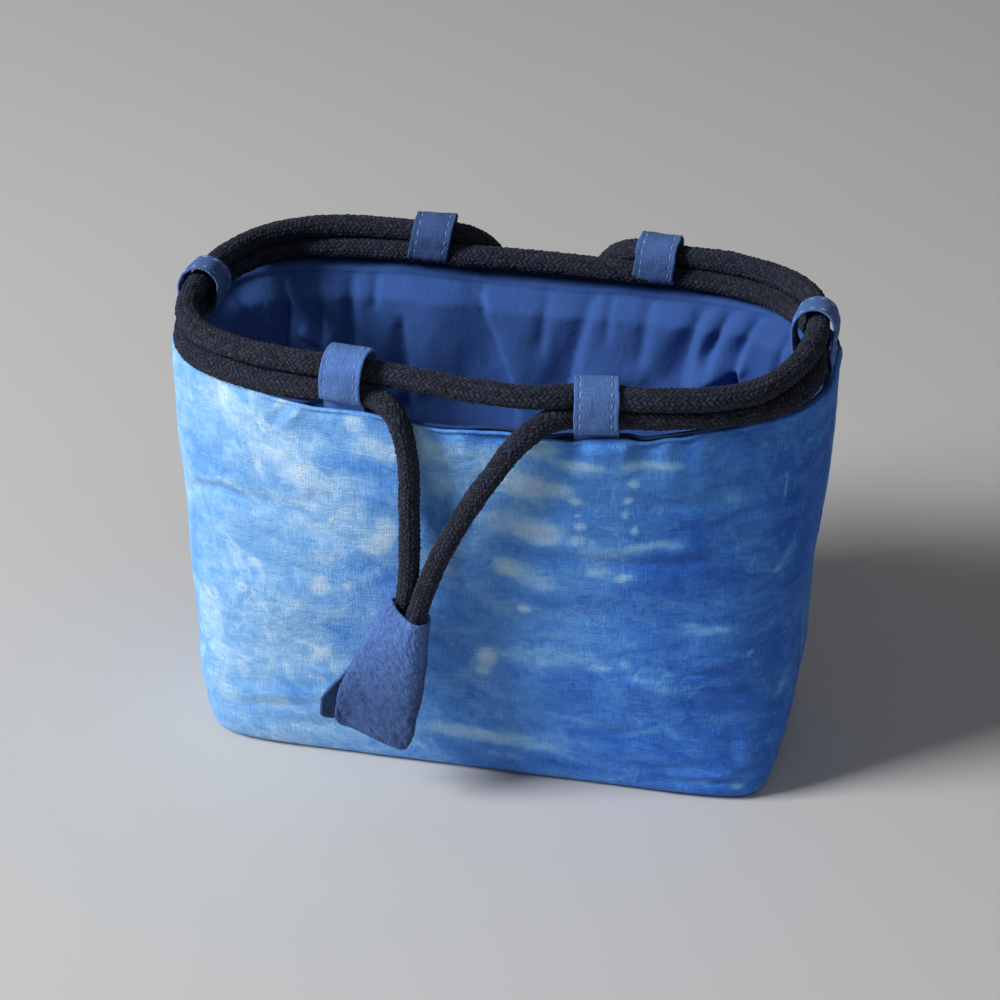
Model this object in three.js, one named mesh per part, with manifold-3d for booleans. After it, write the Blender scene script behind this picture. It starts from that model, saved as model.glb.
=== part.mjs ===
// A small open storage bag for teaware: a padded tie-dyed cotton shell with a loose cotton lining, six strap loops
// sewn into the rim seam, and two braided drawcords that each end in a folded cotton tab.
// Millimetres, +Z up. The origin is on the surface that the bag stands on, under the middle of its base.
// +X runs along the bag's length and -Y is its front.
import * as THREE from "three";
import { mergeVertices } from "three/addons/utils/BufferGeometryUtils.js";
import Module from "manifold-3d";

// Driving dimensions.
const RIM_HEIGHT = 131; // top of the lining's rolled edge
const SHELL_THICK = 3; // outer cotton and its wadding
const LINING_THICK = 1.3;
const PLY_GAP = 0.5; // between the shell and the lining
const BASE_FOLD = 4.5; // radius of the soft fold round the base
const ROLL_THICK = 0.9; // the lining's rolled edge, lying over the top of the shell
const ROLL_CLEAR = 0.35;
const ROLL_REACH = 0.4; // how far inside the shell's face the rolled edge stops
const TURNS = 68; // steps round the shell and the lining
const STRAP_WIDTH = 12.7;
const STRAP_THICK = 1.4;
const STRAP_ARCH = 5.9; // inner radius of a loop's arch
const STRAP_SHOULDER = 11.2; // height of the arch's centre above the rim
const SADDLE_TOP = 1.3; // height of a loop's floor above the rim
const TONGUE_DEPTH = 4.5; // how far a loop's legs reach down into the rim seam
const TONGUE_FROM = 1.9; // where the legs lie in the seam, counted in from the shell's face
const TONGUE_TO = 3;
const FIT = 0.47; // clearance round the sewn-in legs
const CORD_RADIUS = 3.1;
const CORD_SIDES = 8;
const CORD_STEPS = 76;
const TAB_THICK = 1.1;

// Level sections of the shell's outer face: half sizes to the ends, the front and the back, the squareness of the
// outline (2 is an ellipse, 8 a rounded rectangle) and how far the section's middle stands off the origin.
const SECTIONS = [
  { z: 0, length: 88.6, front: 35.8, back: 35.8, frontSquare: 8, backSquare: 8, middle: 0 },
  { z: 8, length: 91.2, front: 37.6, back: 37.6, frontSquare: 7.4, backSquare: 7.4, middle: -0.1 },
  { z: 30, length: 95, front: 40.4, back: 40.4, frontSquare: 4.7, backSquare: 4.7, middle: -0.2 },
  { z: 65, length: 97.6, front: 45, back: 45, frontSquare: 3.3, backSquare: 3.5, middle: -0.5 },
  { z: 100, length: 100, front: 49.4, back: 49.6, frontSquare: 2.6, backSquare: 3.4, middle: -0.8 },
  { z: 131, length: 101, front: 52.5, back: 53, frontSquare: 2.25, backSquare: 3.3, middle: -1 },
];

// Where the rim is pulled up: direction round the bag in degrees from +X, rise, and the spread of the rise.
const RISES = [
  { at: 6, rise: 3.6, spread: 26 },
  { at: 120, rise: 1.4, spread: 40 },
];

// Swellings (out) and soft creases (negative out) of the padded walls: direction, height, spread round, spread up.
const SWELLS = [
  { at: 232, z: 93, round: 7, up: 4, out: -1.3 },
  { at: 238, z: 60, round: 15, up: 16, out: 0.9 },
  { at: 243, z: 24, round: 16, up: 12, out: 1.3 },
  { at: 266, z: 84, round: 16, up: 10, out: 0.7 },
  { at: 286, z: 66, round: 13, up: 5, out: -0.9 },
  { at: 300, z: 88, round: 12, up: 5, out: -0.8 },
  { at: 295, z: 44, round: 16, up: 9, out: 0.9 },
  { at: 318, z: 104, round: 9, up: 16, out: -1.2 },
  { at: 60, z: 70, round: 18, up: 14, out: 0.9 },
  { at: 96, z: 48, round: 20, up: 6, out: -0.8 },
  { at: 122, z: 80, round: 15, up: 16, out: 1 },
  { at: 172, z: 60, round: 16, up: 22, out: -1 },
  { at: 5, z: 66, round: 16, up: 22, out: -1 },
];

// Loose vertical folds of the lining, which stand in from the shell: direction, half width in degrees, how far they
// stand in, the heights between which they run, and how many degrees they drift on the way down.
const FOLDS = [
  { at: 18, wide: 7, deep: 3, low: 20, high: 122, drift: 4 },
  { at: 40, wide: 3.4, deep: 4.6, low: 30, high: 126, drift: 6 },
  { at: 50, wide: 3.2, deep: 4.4, low: 24, high: 127, drift: 7 },
  { at: 60, wide: 4.4, deep: 3.2, low: 12, high: 126, drift: -2 },
  { at: 78, wide: 6, deep: 2.6, low: 10, high: 124, drift: 5 },
  { at: 94, wide: 5.4, deep: 4.2, low: 8, high: 127, drift: -6 },
  { at: 107, wide: 5, deep: 5, low: 10, high: 127, drift: 5 },
  { at: 124, wide: 7, deep: 3.6, low: 10, high: 124, drift: 3 },
  { at: 143, wide: 5, deep: 3, low: 14, high: 124, drift: -2 },
  { at: 163, wide: 7, deep: 3, low: 18, high: 122, drift: 2 },
  { at: 200, wide: 8, deep: 2.4, low: 18, high: 120, drift: 2 },
  { at: 238, wide: 8, deep: 3, low: 12, high: 122, drift: -3 },
  { at: 270, wide: 9, deep: 2.6, low: 12, high: 120, drift: 3 },
  { at: 306, wide: 8, deep: 3, low: 14, high: 122, drift: 2 },
  { at: 338, wide: 7, deep: 2.6, low: 18, high: 122, drift: -2 },
];

// The strap loops: direction of the place on the rim, how far a loop bulges out past the shell's face, how far its
// top leans along the rim for each millimetre of height, and how much lower its one edge hangs than the other for
// each millimetre of width.
const LOOPS = [
  { name: "loop_front_left", at: 249.5, outset: 2.6, lean: 0.09, tip: 0 },
  { name: "loop_front_right", at: 291.7, outset: 2.6, lean: 0, tip: 0 },
  { name: "loop_right_end", at: 3.5, outset: -1.4, lean: 0.24, tip: 0.16 },
  { name: "loop_back_right", at: 68.5, outset: 2.6, lean: -0.08, tip: 0 },
  { name: "loop_back_left", at: 108.6, outset: 2.6, lean: -0.16, tip: 0 },
  { name: "loop_left_end", at: 178, outset: -1.4, lean: -0.1, tip: -0.14 },
];

// The drawcords, each from one end in its tab round the rim to the other end.
const FRONT_CORD = [
  [-22, -52.5, 59.4], [-20.5, -52.4, 64.6], [-18.9, -52.5, 70.4], [-17.4, -53.4, 79], [-16.5, -54.4, 92],
  [-16.2, -55, 107], [-16, -55.6, 118], [-16.8, -56, 126.5], [-18.8, -55.2, 133], [-22.4, -52.4, 136.2],
  [-28.8, -48.4, 137], [-37, -46.4, 136.7], [-46.5, -45.2, 136], [-61, -42.4, 134.9], [-70.5, -39.2, 134.8],
  [-81, -34.5, 134.8], [-90.2, -26.4, 134.9], [-94.6, -14, 135.8], [-95.1, 0, 136.85], [-94, 14, 136.75],
  [-90, 28, 136.9], [-79.5, 41, 136.9], [-57.5, 47, 136.7], [-35, 47.4, 137.2], [-24, 46.9, 137.3],
  [-12, 47.4, 137.4], [14, 47.2, 137.4], [26, 46, 137.7], [36, 46.3, 137.5], [48, 46.9, 136.9], [62, 45, 136.6],
  [75.6, 38.8, 136.8], [83.6, 29, 137.7], [90, 16, 140.1], [92.9, 7, 140.2], [93.1, -2, 140.3],
  [93.7, -12.4, 138.1], [87.6, -26.4, 136.6], [74.4, -36.6, 136.5], [60.4, -42, 136.7], [44, -45.4, 136.6],
  [37, -46.1, 136.4], [30.6, -46.9, 136.3], [23.5, -51, 135.9], [18.6, -55, 133.2], [14.2, -56.6, 128.6],
  [9.8, -56.8, 121.6], [4.8, -56.8, 113.6], [-2.6, -56.8, 100], [-7.8, -57, 88.6], [-11.8, -57.2, 77.6],
  [-14, -57.1, 70], [-15.6, -57, 64], [-16.9, -57, 58.9],
];
const BACK_CORD = [
  [6.2, 54.3, 61], [4.8, 54.3, 67.6], [3, 54.6, 75], [0, 55.6, 88], [-4.6, 56.8, 104], [-9.6, 58, 119],
  [-13.2, 58.8, 129], [-16.4, 57.6, 135], [-20.8, 53.8, 140.2], [-27, 49.8, 143.4], [-34, 49.2, 143.5],
  [-47, 49.2, 143.35], [-60, 48.2, 143.4], [-72.5, 44.3, 143.5], [-84, 35.4, 143.5], [-91.5, 21, 143.6],
  [-94, 7, 143.45], [-94.2, -6.8, 143.5], [-92.6, -18.6, 142.4], [-84.2, -30.2, 142], [-70, -38.4, 142.5],
  [-54, -42.8, 143], [-37, -44.8, 143.2], [-22, -46.2, 143], [-2, -49, 142.6], [15.6, -50.2, 142.6],
  [24, -49, 142.7], [30.6, -46.9, 143], [37.4, -46.3, 143], [44, -46, 143.1], [52, -45.6, 143.2],
  [68, -41.6, 143.2], [81, -33.6, 143.4], [90, -19, 145.1], [93.1, -4.6, 146.9], [92.4, 7, 147.3],
  [88.4, 24, 145.8], [79.6, 37.2, 144], [63, 46, 143.4], [47, 48, 143.4], [38, 48.3, 143.8], [31.6, 50, 143.3],
  [26.4, 54, 140.2], [22, 57.6, 135.6], [18.6, 59, 129.4], [15.8, 59.2, 118], [13.4, 59.2, 104], [10.8, 59, 89],
  [8.4, 58.7, 75], [8.9, 58.7, 68], [10.1, 58.7, 62],
];

// Sections of an end tab, from its mouth at the top down to its hem: how far down, the left and right edges, how far
// the ridge stands right of the middle, depths in front and behind, squareness, how far the front edge lifts off the
// back ply, and how far the back ply reaches past the front edge.
const TAB_ROWS = [
  { down: -0.6, left: -6.9, right: 7.1, ridge: 0.2, front: 6.9, back: 6.9, square: 3.6, lift: 0, flap: 0 },
  { down: 10, left: -8.7, right: 9, ridge: 0.8, front: 6.9, back: 6.6, square: 3, lift: 0, flap: 0 },
  { down: 20, left: -10.3, right: 10.9, ridge: 2.4, front: 5.8, back: 4.9, square: 2.2, lift: 0.1, flap: 0.2 },
  { down: 27, left: -11.5, right: 11.6, ridge: 4.4, front: 5.3, back: 4.2, square: 2, lift: 0.5, flap: 1 },
  { down: 34, left: -12, right: 12.1, ridge: 5.8, front: 5.1, back: 3.9, square: 2, lift: 1.4, flap: 3.6 },
  { down: 41, left: -11.3, right: 12.3, ridge: 6.6, front: 5, back: 3.8, square: 2, lift: 2, flap: 6 },
  { down: 46, left: -9.4, right: 12.2, ridge: 6.6, front: 4.8, back: 3.8, square: 2, lift: 2.2, flap: 6.4 },
];
const TABS = [
  { name: "tab_front", at: [-17.3, -54.6, 69], swing: 16, turn: 0 },
  { name: "tab_back", at: [6.2, 56.6, 71], swing: 13, turn: 180 },
];
const TAB_STEPS = 20; // steps across an end tab's cloth

const FINISHES = {
  shell: { color: 0x3f7fcb, roughness: 0.9, metalness: 0 },
  lining: { color: 0x23479c, roughness: 0.85, metalness: 0 },
  strap: { color: 0x4a6cb4, roughness: 0.9, metalness: 0 },
  cord: { color: 0x17171b, roughness: 0.95, metalness: 0 },
  tab: { color: 0x4f69b4, roughness: 0.95, metalness: 0 },
};

const bag = new THREE.Group();

function addMesh(name, geometry, finish) {
  const mesh = new THREE.Mesh(geometry, new THREE.MeshStandardMaterial(FINISHES[finish]));
  mesh.name = name;
  bag.add(mesh);
  return mesh;
}

// A column of a table at a place between its rows: a cubic through the rows' values whose slopes are those of the
// neighbouring rows.
function tableValue(rows, along, column, at) {
  let i = 0;
  while (i < rows.length - 2 && at > rows[i + 1][along]) i += 1;
  const slope = (j) => {
    const before = rows[Math.max(j - 1, 0)];
    const after = rows[Math.min(j + 1, rows.length - 1)];
    return (after[column] - before[column]) / (after[along] - before[along]);
  };
  const step = rows[i + 1][along] - rows[i][along];
  const t = Math.min(Math.max((at - rows[i][along]) / step, 0), 1);
  const rest = 1 - t;
  return (
    rows[i][column] * (1 + 2 * t) * rest * rest +
    slope(i) * step * t * rest * rest +
    rows[i + 1][column] * t * t * (3 - 2 * t) -
    slope(i + 1) * step * t * t * rest
  );
}

// Degrees from one direction to another, between -180 and 180.
const degreesFrom = (a, b) => ((((a - b) % 360) + 540) % 360) - 180;

const bell = (distance, spread) => Math.exp(-((distance / spread) ** 2));

function rimRise(degrees) {
  return RISES.reduce((sum, r) => sum + r.rise * bell(degreesFrom(degrees, r.at), r.spread), 0);
}

function swell(degrees, z) {
  const one = (s) => s.out * bell(degreesFrom(degrees, s.at), s.round) * bell(z - s.z, s.up);
  return SWELLS.reduce((sum, s) => sum + one(s), 0);
}

// How far the lining stands in at a place: each fold is a ridge that fades out at its two ends.
function foldDepth(degrees, z) {
  const one = (f) => {
    const along = (z - f.low) / (f.high - f.low);
    if (along <= 0 || along >= 1) return 0;
    const middle = f.at + f.drift * (1 - along);
    return f.deep * Math.sin(Math.PI * along ** 1.4) ** 0.6 * bell(degreesFrom(degrees, middle), f.wide);
  };
  return FOLDS.reduce((sum, f) => sum + one(f), 0);
}

// A point of the bag's walls and the level direction out of the wall there. The outline is the direction
// (cos, sin), stretched to the half sizes and scaled until |x|^n + |y|^n = 1. inset counts in from the shell's face.
function wallPoint(degrees, z, inset) {
  const turn = THREE.MathUtils.degToRad(degrees);
  const c = Math.cos(turn);
  const s = Math.sin(turn);
  const side = s < 0 ? "front" : "back";
  const value = (column) => tableValue(SECTIONS, "z", column, z);
  const length = value("length");
  const depth = value(side);
  const n = value(side + "Square");
  const scale = (Math.abs(c) ** n + Math.abs(s) ** n) ** (-1 / n);
  const out = new THREE.Vector2(
    (Math.sign(c) * Math.abs(c * scale) ** (n - 1)) / length,
    (Math.sign(s) * Math.abs(s * scale) ** (n - 1)) / depth,
  ).normalize();
  const foldIn = z < BASE_FOLD ? BASE_FOLD - Math.sqrt(BASE_FOLD ** 2 - (BASE_FOLD - z) ** 2) : 0;
  const offset = swell(degrees, z) - foldIn - inset;
  return {
    point: new THREE.Vector3(
      value("middle") + length * c * scale + out.x * offset,
      depth * s * scale + out.y * offset,
      z + rimRise(degrees) * (z / RIM_HEIGHT) ** 3,
    ),
    out,
  };
}

// A closed skin over level rings: each ring is a function of direction, and the first and last rings are closed
// by a fan to their middles. rising says which diagonal splits the quads, so that two skins whose rings run opposite
// ways past each other have parallel faces.
function skin(rings, turns, rising) {
  const positions = [];
  const index = [];
  const middleOf = (ring) => {
    const sum = new THREE.Vector3();
    for (const p of ring) sum.add(p);
    return sum.divideScalar(ring.length);
  };
  const points = rings.map((ring) => Array.from({ length: turns }, (_, i) => ring((360 * i) / turns)));
  const first = middleOf(points[0]);
  const last = middleOf(points[points.length - 1]);
  for (const ring of points) for (const p of ring) positions.push(p.x, p.y, p.z);
  positions.push(first.x, first.y, first.z, last.x, last.y, last.z);
  const bottomMiddle = points.length * turns;
  for (let r = 0; r < points.length - 1; r += 1) {
    for (let i = 0; i < turns; i += 1) {
      const a = r * turns + i;
      const b = r * turns + ((i + 1) % turns);
      if (rising) index.push(a, b, b + turns, a, b + turns, a + turns);
      else index.push(a, b, a + turns, b, b + turns, a + turns);
    }
  }
  for (let i = 0; i < turns; i += 1) {
    const next = (i + 1) % turns;
    const top = (points.length - 1) * turns;
    index.push(bottomMiddle, next, i, bottomMiddle + 1, top + i, top + next);
  }
  const geometry = new THREE.BufferGeometry();
  geometry.setAttribute("position", new THREE.Float32BufferAttribute(positions, 3));
  geometry.setIndex(index);
  return geometry;
}

// A ring of the wall at one height and inset.
const wallRing = (z, inset) => (degrees) => wallPoint(degrees, z, inset).point;

// A level ring near the base: the wall's outline at one height, laid at another.
const levelRing = (outlineZ, inset, z) => (degrees) => wallPoint(degrees, outlineZ, inset).point.setZ(z);

function shellGeometry() {
  const top = RIM_HEIGHT - ROLL_THICK - ROLL_CLEAR;
  const outside = [0, 0.6, 2, BASE_FOLD, 16, 32, 48, 64, 80, 96, 112, 124, top - 0.9].map((z) => wallRing(z, 0));
  const edge = [wallRing(top, 0.8), wallRing(top, SHELL_THICK - 0.8), wallRing(top - 0.9, SHELL_THICK)];
  const inside = [121, 108, 92, 76, 60, 44, 28, 14].map((z) => wallRing(z, SHELL_THICK));
  const floor = [levelRing(BASE_FOLD, SHELL_THICK + 0.6, SHELL_THICK + 1.6), levelRing(BASE_FOLD, 6, SHELL_THICK)];
  return skin([...outside, ...edge, ...inside, ...floor], TURNS, false);
}

// The lining follows the shell's inner face in loose folds, and its top edge is rolled out over the shell's.
function liningGeometry() {
  const near = SHELL_THICK + PLY_GAP;
  const folded = (z, inset) => (degrees) => wallPoint(degrees, z, inset + foldDepth(degrees, z)).point;
  const heights = [14, 28, 44, 60, 76, 92, 108, 121];
  const under = near + 0.05;
  const above = near + LINING_THICK;
  const roll = RIM_HEIGHT - ROLL_THICK;
  return skin(
    [
      levelRing(BASE_FOLD, 8, under),
      levelRing(BASE_FOLD, near + 1.4, under + 1.2),
      ...heights.map((z) => folded(z, near)),
      wallRing(roll, near),
      wallRing(roll, ROLL_REACH + 0.2),
      wallRing(RIM_HEIGHT - 0.4, ROLL_REACH),
      wallRing(RIM_HEIGHT, ROLL_REACH + 0.4),
      wallRing(RIM_HEIGHT, near + LINING_THICK - 0.4),
      wallRing(RIM_HEIGHT - 0.5, near + LINING_THICK),
      ...heights.reverse().map((z) => folded(z, near + LINING_THICK)),
      levelRing(BASE_FOLD, above + 1.6, above + 1.6),
      levelRing(BASE_FOLD, above + 4.2, above),
    ],
    TURNS,
    true,
  );
}

// Where a loop is sewn in: x runs in from the shell's face, y up from the rim and z along the rim.
function loopFrame(loop) {
  const { point, out } = wallPoint(loop.at, RIM_HEIGHT, 0);
  const inward = new THREE.Vector3(-out.x, -out.y, 0);
  const up = new THREE.Vector3(0, 0, 1);
  const along = new THREE.Vector3().crossVectors(inward, up);
  return new THREE.Matrix4().makeBasis(inward, up, along).setPosition(point);
}

// A loop's section: a strap that comes up from the seam, arches over the cords, and comes back over the lining's edge
// into the same seam.
function loopShape(outset) {
  const arch = STRAP_ARCH + STRAP_THICK;
  const middle = arch - outset;
  const outer = -outset;
  const inner = middle + arch;
  const shape = new THREE.Shape();
  shape.moveTo(TONGUE_FROM, -TONGUE_DEPTH);
  shape.lineTo(TONGUE_TO, -TONGUE_DEPTH);
  shape.lineTo(TONGUE_TO, 0.5);
  shape.lineTo(TONGUE_TO + 3, 0.6);
  shape.quadraticCurveTo(inner, 1.6, inner, 9);
  shape.lineTo(inner, STRAP_SHOULDER);
  shape.absarc(middle, STRAP_SHOULDER, arch, 0, Math.PI, false);
  shape.lineTo(outer, 7);
  shape.quadraticCurveTo(outer, 1.2, TONGUE_FROM, 0.2);
  const hole = new THREE.Path();
  hole.moveTo(TONGUE_FROM + 0.6, SADDLE_TOP);
  hole.quadraticCurveTo(outer + STRAP_THICK, SADDLE_TOP + 0.5, outer + STRAP_THICK, 7);
  hole.lineTo(outer + STRAP_THICK, STRAP_SHOULDER);
  hole.absarc(middle, STRAP_SHOULDER, STRAP_ARCH, Math.PI, 0, true);
  hole.lineTo(inner - STRAP_THICK, 9);
  hole.quadraticCurveTo(inner - STRAP_THICK, SADDLE_TOP + 0.3, TONGUE_TO + 2.4, SADDLE_TOP);
  shape.holes.push(hole);
  return shape;
}

function addLoop(loop) {
  const geometry = new THREE.ExtrudeGeometry(loopShape(loop.outset), {
    depth: STRAP_WIDTH,
    bevelEnabled: false,
    curveSegments: 5,
  });
  geometry.translate(0, 0, -STRAP_WIDTH / 2);
  const position = geometry.attributes.position;
  for (let i = 0; i < position.count; i += 1) {
    const high = Math.max(position.getY(i) - 1, 0);
    const along = position.getZ(i);
    position.setZ(i, along + loop.lean * high);
    position.setY(i, position.getY(i) - loop.tip * along * Math.min(Math.max(high - 1, 0) / 8, 1));
  }
  geometry.applyMatrix4(loopFrame(loop));
  addMesh(loop.name, geometry, "strap");
}

function addCord(name, route) {
  const path = new THREE.CatmullRomCurve3(
    route.map((p) => new THREE.Vector3(...p)),
    false,
    "centripetal",
  );
  const section = new THREE.Shape(
    Array.from({ length: CORD_SIDES }, (_, i) => {
      const turn = (2 * Math.PI * (i + 0.5)) / CORD_SIDES;
      return new THREE.Vector2(CORD_RADIUS * Math.cos(turn), CORD_RADIUS * Math.sin(turn));
    }),
  );
  addMesh(name, new THREE.ExtrudeGeometry(section, { steps: CORD_STEPS, extrudePath: path }), "cord");
}

// A point of an end tab's cloth: across runs from 0 at the front edge, over the front and round the back, to 1 at the
// edge of the back ply. The section is |x|^n + |y|^n = 1 between the edges, with its front pushed towards the ridge.
function tabSection(across, down) {
  const value = (column) => tableValue(TAB_ROWS, "down", column, down);
  const front = across < 0.5;
  const turn = Math.PI * (1 + 2 * across);
  const c = Math.cos(turn);
  const s = Math.sin(turn);
  const n = value("square");
  const scale = (Math.abs(c) ** n + Math.abs(s) ** n) ** (-1 / n);
  const middle = (value("left") + value("right")) / 2;
  const half = (value("right") - value("left")) / 2;
  const edge = bell(front ? across : 1 - across, 0.07);
  const x = middle + half * c * scale + (front ? value("ridge") * s * s : -value("flap") * edge);
  const y = s * scale * (front ? value("front") : value("back"));
  const apart = (TAB_THICK / 2 + 0.2) * edge;
  return new THREE.Vector2(x, front ? y - apart - value("lift") * edge : y + apart);
}

// An end tab: its cloth as one sheet wrapped round the cord ends, its two edges meeting at the left.
function addTab(tab) {
  const downs = [-0.6, 8, 16, 24, 31, 38, 46];
  const place = new THREE.Matrix4()
    .makeTranslation(...tab.at)
    .multiply(new THREE.Matrix4().makeRotationZ(THREE.MathUtils.degToRad(tab.turn)))
    .multiply(new THREE.Matrix4().makeRotationY(THREE.MathUtils.degToRad(tab.swing)));
  const positions = [];
  const index = [];
  const column = TAB_STEPS + 1;
  for (const side of [1, -1]) {
    for (const down of downs) {
      for (let i = 0; i <= TAB_STEPS; i += 1) {
        const across = i / TAB_STEPS;
        const here = tabSection(across, down);
        const before = tabSection(Math.max(across - 0.01, 0), down);
        const after = tabSection(Math.min(across + 0.01, 1), down);
        const out = new THREE.Vector2(after.y - before.y, before.x - after.x).normalize();
        const flat = here.addScaledVector(out, (side * TAB_THICK) / 2);
        const p = new THREE.Vector3(flat.x, flat.y, -down).applyMatrix4(place);
        positions.push(p.x, p.y, p.z);
      }
    }
  }
  const inner = downs.length * column;
  const quad = (a, b, c, d) => index.push(a, b, c, a, c, d);
  for (let r = 0; r < downs.length - 1; r += 1) {
    for (let i = 0; i < TAB_STEPS; i += 1) {
      const a = r * column + i;
      quad(a, a + column, a + column + 1, a + 1);
      quad(inner + a, inner + a + 1, inner + a + column + 1, inner + a + column);
    }
    const first = r * column;
    const last = first + TAB_STEPS;
    quad(first, inner + first, inner + first + column, first + column);
    quad(last, last + column, inner + last + column, inner + last);
  }
  const hem = (downs.length - 1) * column;
  for (let i = 0; i < TAB_STEPS; i += 1) {
    quad(i, i + 1, inner + i + 1, inner + i);
    quad(hem + i, inner + hem + i, inner + hem + i + 1, hem + i + 1);
  }
  const geometry = new THREE.BufferGeometry();
  geometry.setAttribute("position", new THREE.Float32BufferAttribute(positions, 3));
  geometry.setIndex(index);
  addMesh(tab.name, geometry, "tab");
}

const wasm = await Module();
wasm.setup();

function solidOf(geometry) {
  const bare = geometry.clone();
  bare.deleteAttribute("normal");
  bare.deleteAttribute("uv");
  const merged = mergeVertices(bare, 1e-4);
  return new wasm.Manifold(
    new wasm.Mesh({
      numProp: 3,
      vertProperties: new Float32Array(merged.attributes.position.array),
      triVerts: new Uint32Array(merged.index.array),
    }),
  );
}

function geometryOf(solid) {
  const mesh = solid.getMesh();
  const geometry = new THREE.BufferGeometry();
  geometry.setAttribute("position", new THREE.BufferAttribute(new Float32Array(mesh.vertProperties), 3));
  geometry.setIndex(new THREE.BufferAttribute(new Uint32Array(mesh.triVerts), 1));
  return geometry;
}

// Cuts a slot for each loop's legs: a box from one depth in the wall to another.
function slotted(geometry, from, to, low) {
  const high = 4;
  let solid = solidOf(geometry);
  for (const loop of LOOPS) {
    const slot = new THREE.BoxGeometry(to - from, high - low, STRAP_WIDTH + 2 * FIT);
    slot.translate((from + to) / 2, (low + high) / 2, 0);
    slot.applyMatrix4(loopFrame(loop));
    solid = solid.subtract(solidOf(slot));
  }
  return geometryOf(solid);
}

const seamWay = SHELL_THICK + PLY_GAP - 0.05;
addMesh("outer_shell", slotted(shellGeometry(), TONGUE_FROM - FIT, seamWay + 1, -TONGUE_DEPTH - FIT), "shell");
addMesh("lining", slotted(liningGeometry(), -1, seamWay, -3), "lining");
for (const loop of LOOPS) addLoop(loop);
addCord("cord_front", FRONT_CORD);
addCord("cord_back", BACK_CORD);
for (const tab of TABS) addTab(tab);

export default bag;
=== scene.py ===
"""A drawstring storage bag for teaware: tie-dyed padded shell, loose lining, strap loops, drawcords and end tabs.

Lengths in the tables and in the shape functions are millimetres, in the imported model's frame: +Z up, +X along the bag,
-Y its front. Every piece is turned into metres when its mesh is made.
"""

import math

import bpy
import numpy as np
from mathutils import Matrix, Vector


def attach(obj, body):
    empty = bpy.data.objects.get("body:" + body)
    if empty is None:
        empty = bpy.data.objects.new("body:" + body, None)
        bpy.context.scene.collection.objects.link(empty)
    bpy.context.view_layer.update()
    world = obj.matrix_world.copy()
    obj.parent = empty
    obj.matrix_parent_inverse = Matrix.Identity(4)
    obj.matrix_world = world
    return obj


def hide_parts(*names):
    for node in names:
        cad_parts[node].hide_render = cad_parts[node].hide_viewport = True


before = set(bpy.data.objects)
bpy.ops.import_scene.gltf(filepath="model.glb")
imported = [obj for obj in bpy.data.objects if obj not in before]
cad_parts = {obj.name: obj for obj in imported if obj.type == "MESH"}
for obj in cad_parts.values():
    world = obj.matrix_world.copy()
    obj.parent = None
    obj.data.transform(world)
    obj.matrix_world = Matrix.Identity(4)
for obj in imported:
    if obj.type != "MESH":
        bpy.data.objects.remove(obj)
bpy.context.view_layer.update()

bl_info = {
    "name": "Teaware Storage Bag",
    "version": (1, 0, 0),
    "blender": (4, 5, 0),
    "location": "View3D > Sidebar > Storage Bag",
    "description": "Builds a padded drawstring bag around its packed model",
    "category": "Object",
}

MM = 0.001
BODY = "root"


def table(columns, *rows):
    """A table with named columns, as a dict of arrays with one value for each row."""
    return dict(zip(columns.split(), np.array(rows, float).T))


# ---------------------------------------------------------------------------------------------------------------------
# The bag's walls
# ---------------------------------------------------------------------------------------------------------------------

# Level sections of the shell's outer face: half sizes to the ends, the front and the back, the squareness of the
# outline (2 is an ellipse, 8 a rounded rectangle) and how far the section's middle stands off the origin.
SECTIONS = table(
    "z length front back front_square back_square middle",
    [0, 88.9, 35.8, 35.8, 9, 8, 0], [8, 91.2, 37.6, 37.6, 7.8, 7.4, -0.1], [30, 95, 40.4, 40.4, 4.7, 4.7, -0.2],
    [65, 97.6, 45, 45, 3.3, 3.5, -0.5], [100, 100, 49.4, 49.6, 2.6, 3.4, -0.8], [131, 101, 52.5, 53, 2.25, 3.3, -1],
)
BASE_FOLD = 3.6  # radius of the soft fold round the base
PLY_GAP = 0.5  # between the shell and the lining
ROLL_THICK = 0.9  # the lining's rolled edge, lying over the top of the shell
ROLL_CLEAR = 0.3  # between that edge and the top of the shell
ROLL_REACH = 0.4  # how far that edge stands in from the face of the shell
RIM_HEIGHT = 131
# How much higher than RIM_HEIGHT the rim stands at some directions, and over how many degrees.
RISES = table(
    "at rise spread",
    [6, 3.6, 26], [54, 2.3, 17], [74, 0.9, 4], [112.8, 0.8, 4], [120, 1.4, 40], [140, 1.7, 17], [226, 1.9, 17],
    [254, 2.5, 9], [276, 1.9, 7], [320, 2.8, 17], [345, 1.0, 12],
)

# Swellings (out) and soft creases (negative out) of the padded walls: direction, height, spread round, spread up.
SWELLS = table(
    "at z round up out",
    [232, 93, 7, 4, -1.3], [238, 60, 15, 16, 0.9], [243, 24, 16, 12, 1.3], [266, 84, 16, 10, 0.7],
    [286, 66, 13, 5, -0.9], [300, 88, 12, 5, -0.8], [295, 44, 16, 9, 0.9], [318, 104, 9, 16, -1.2],
    [60, 70, 18, 14, 0.9], [96, 48, 20, 6, -0.8], [122, 80, 15, 16, 1], [172, 60, 16, 22, -1], [5, 66, 16, 22, -1],
    [358, 52, 22, 16, -1.6],
)

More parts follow.
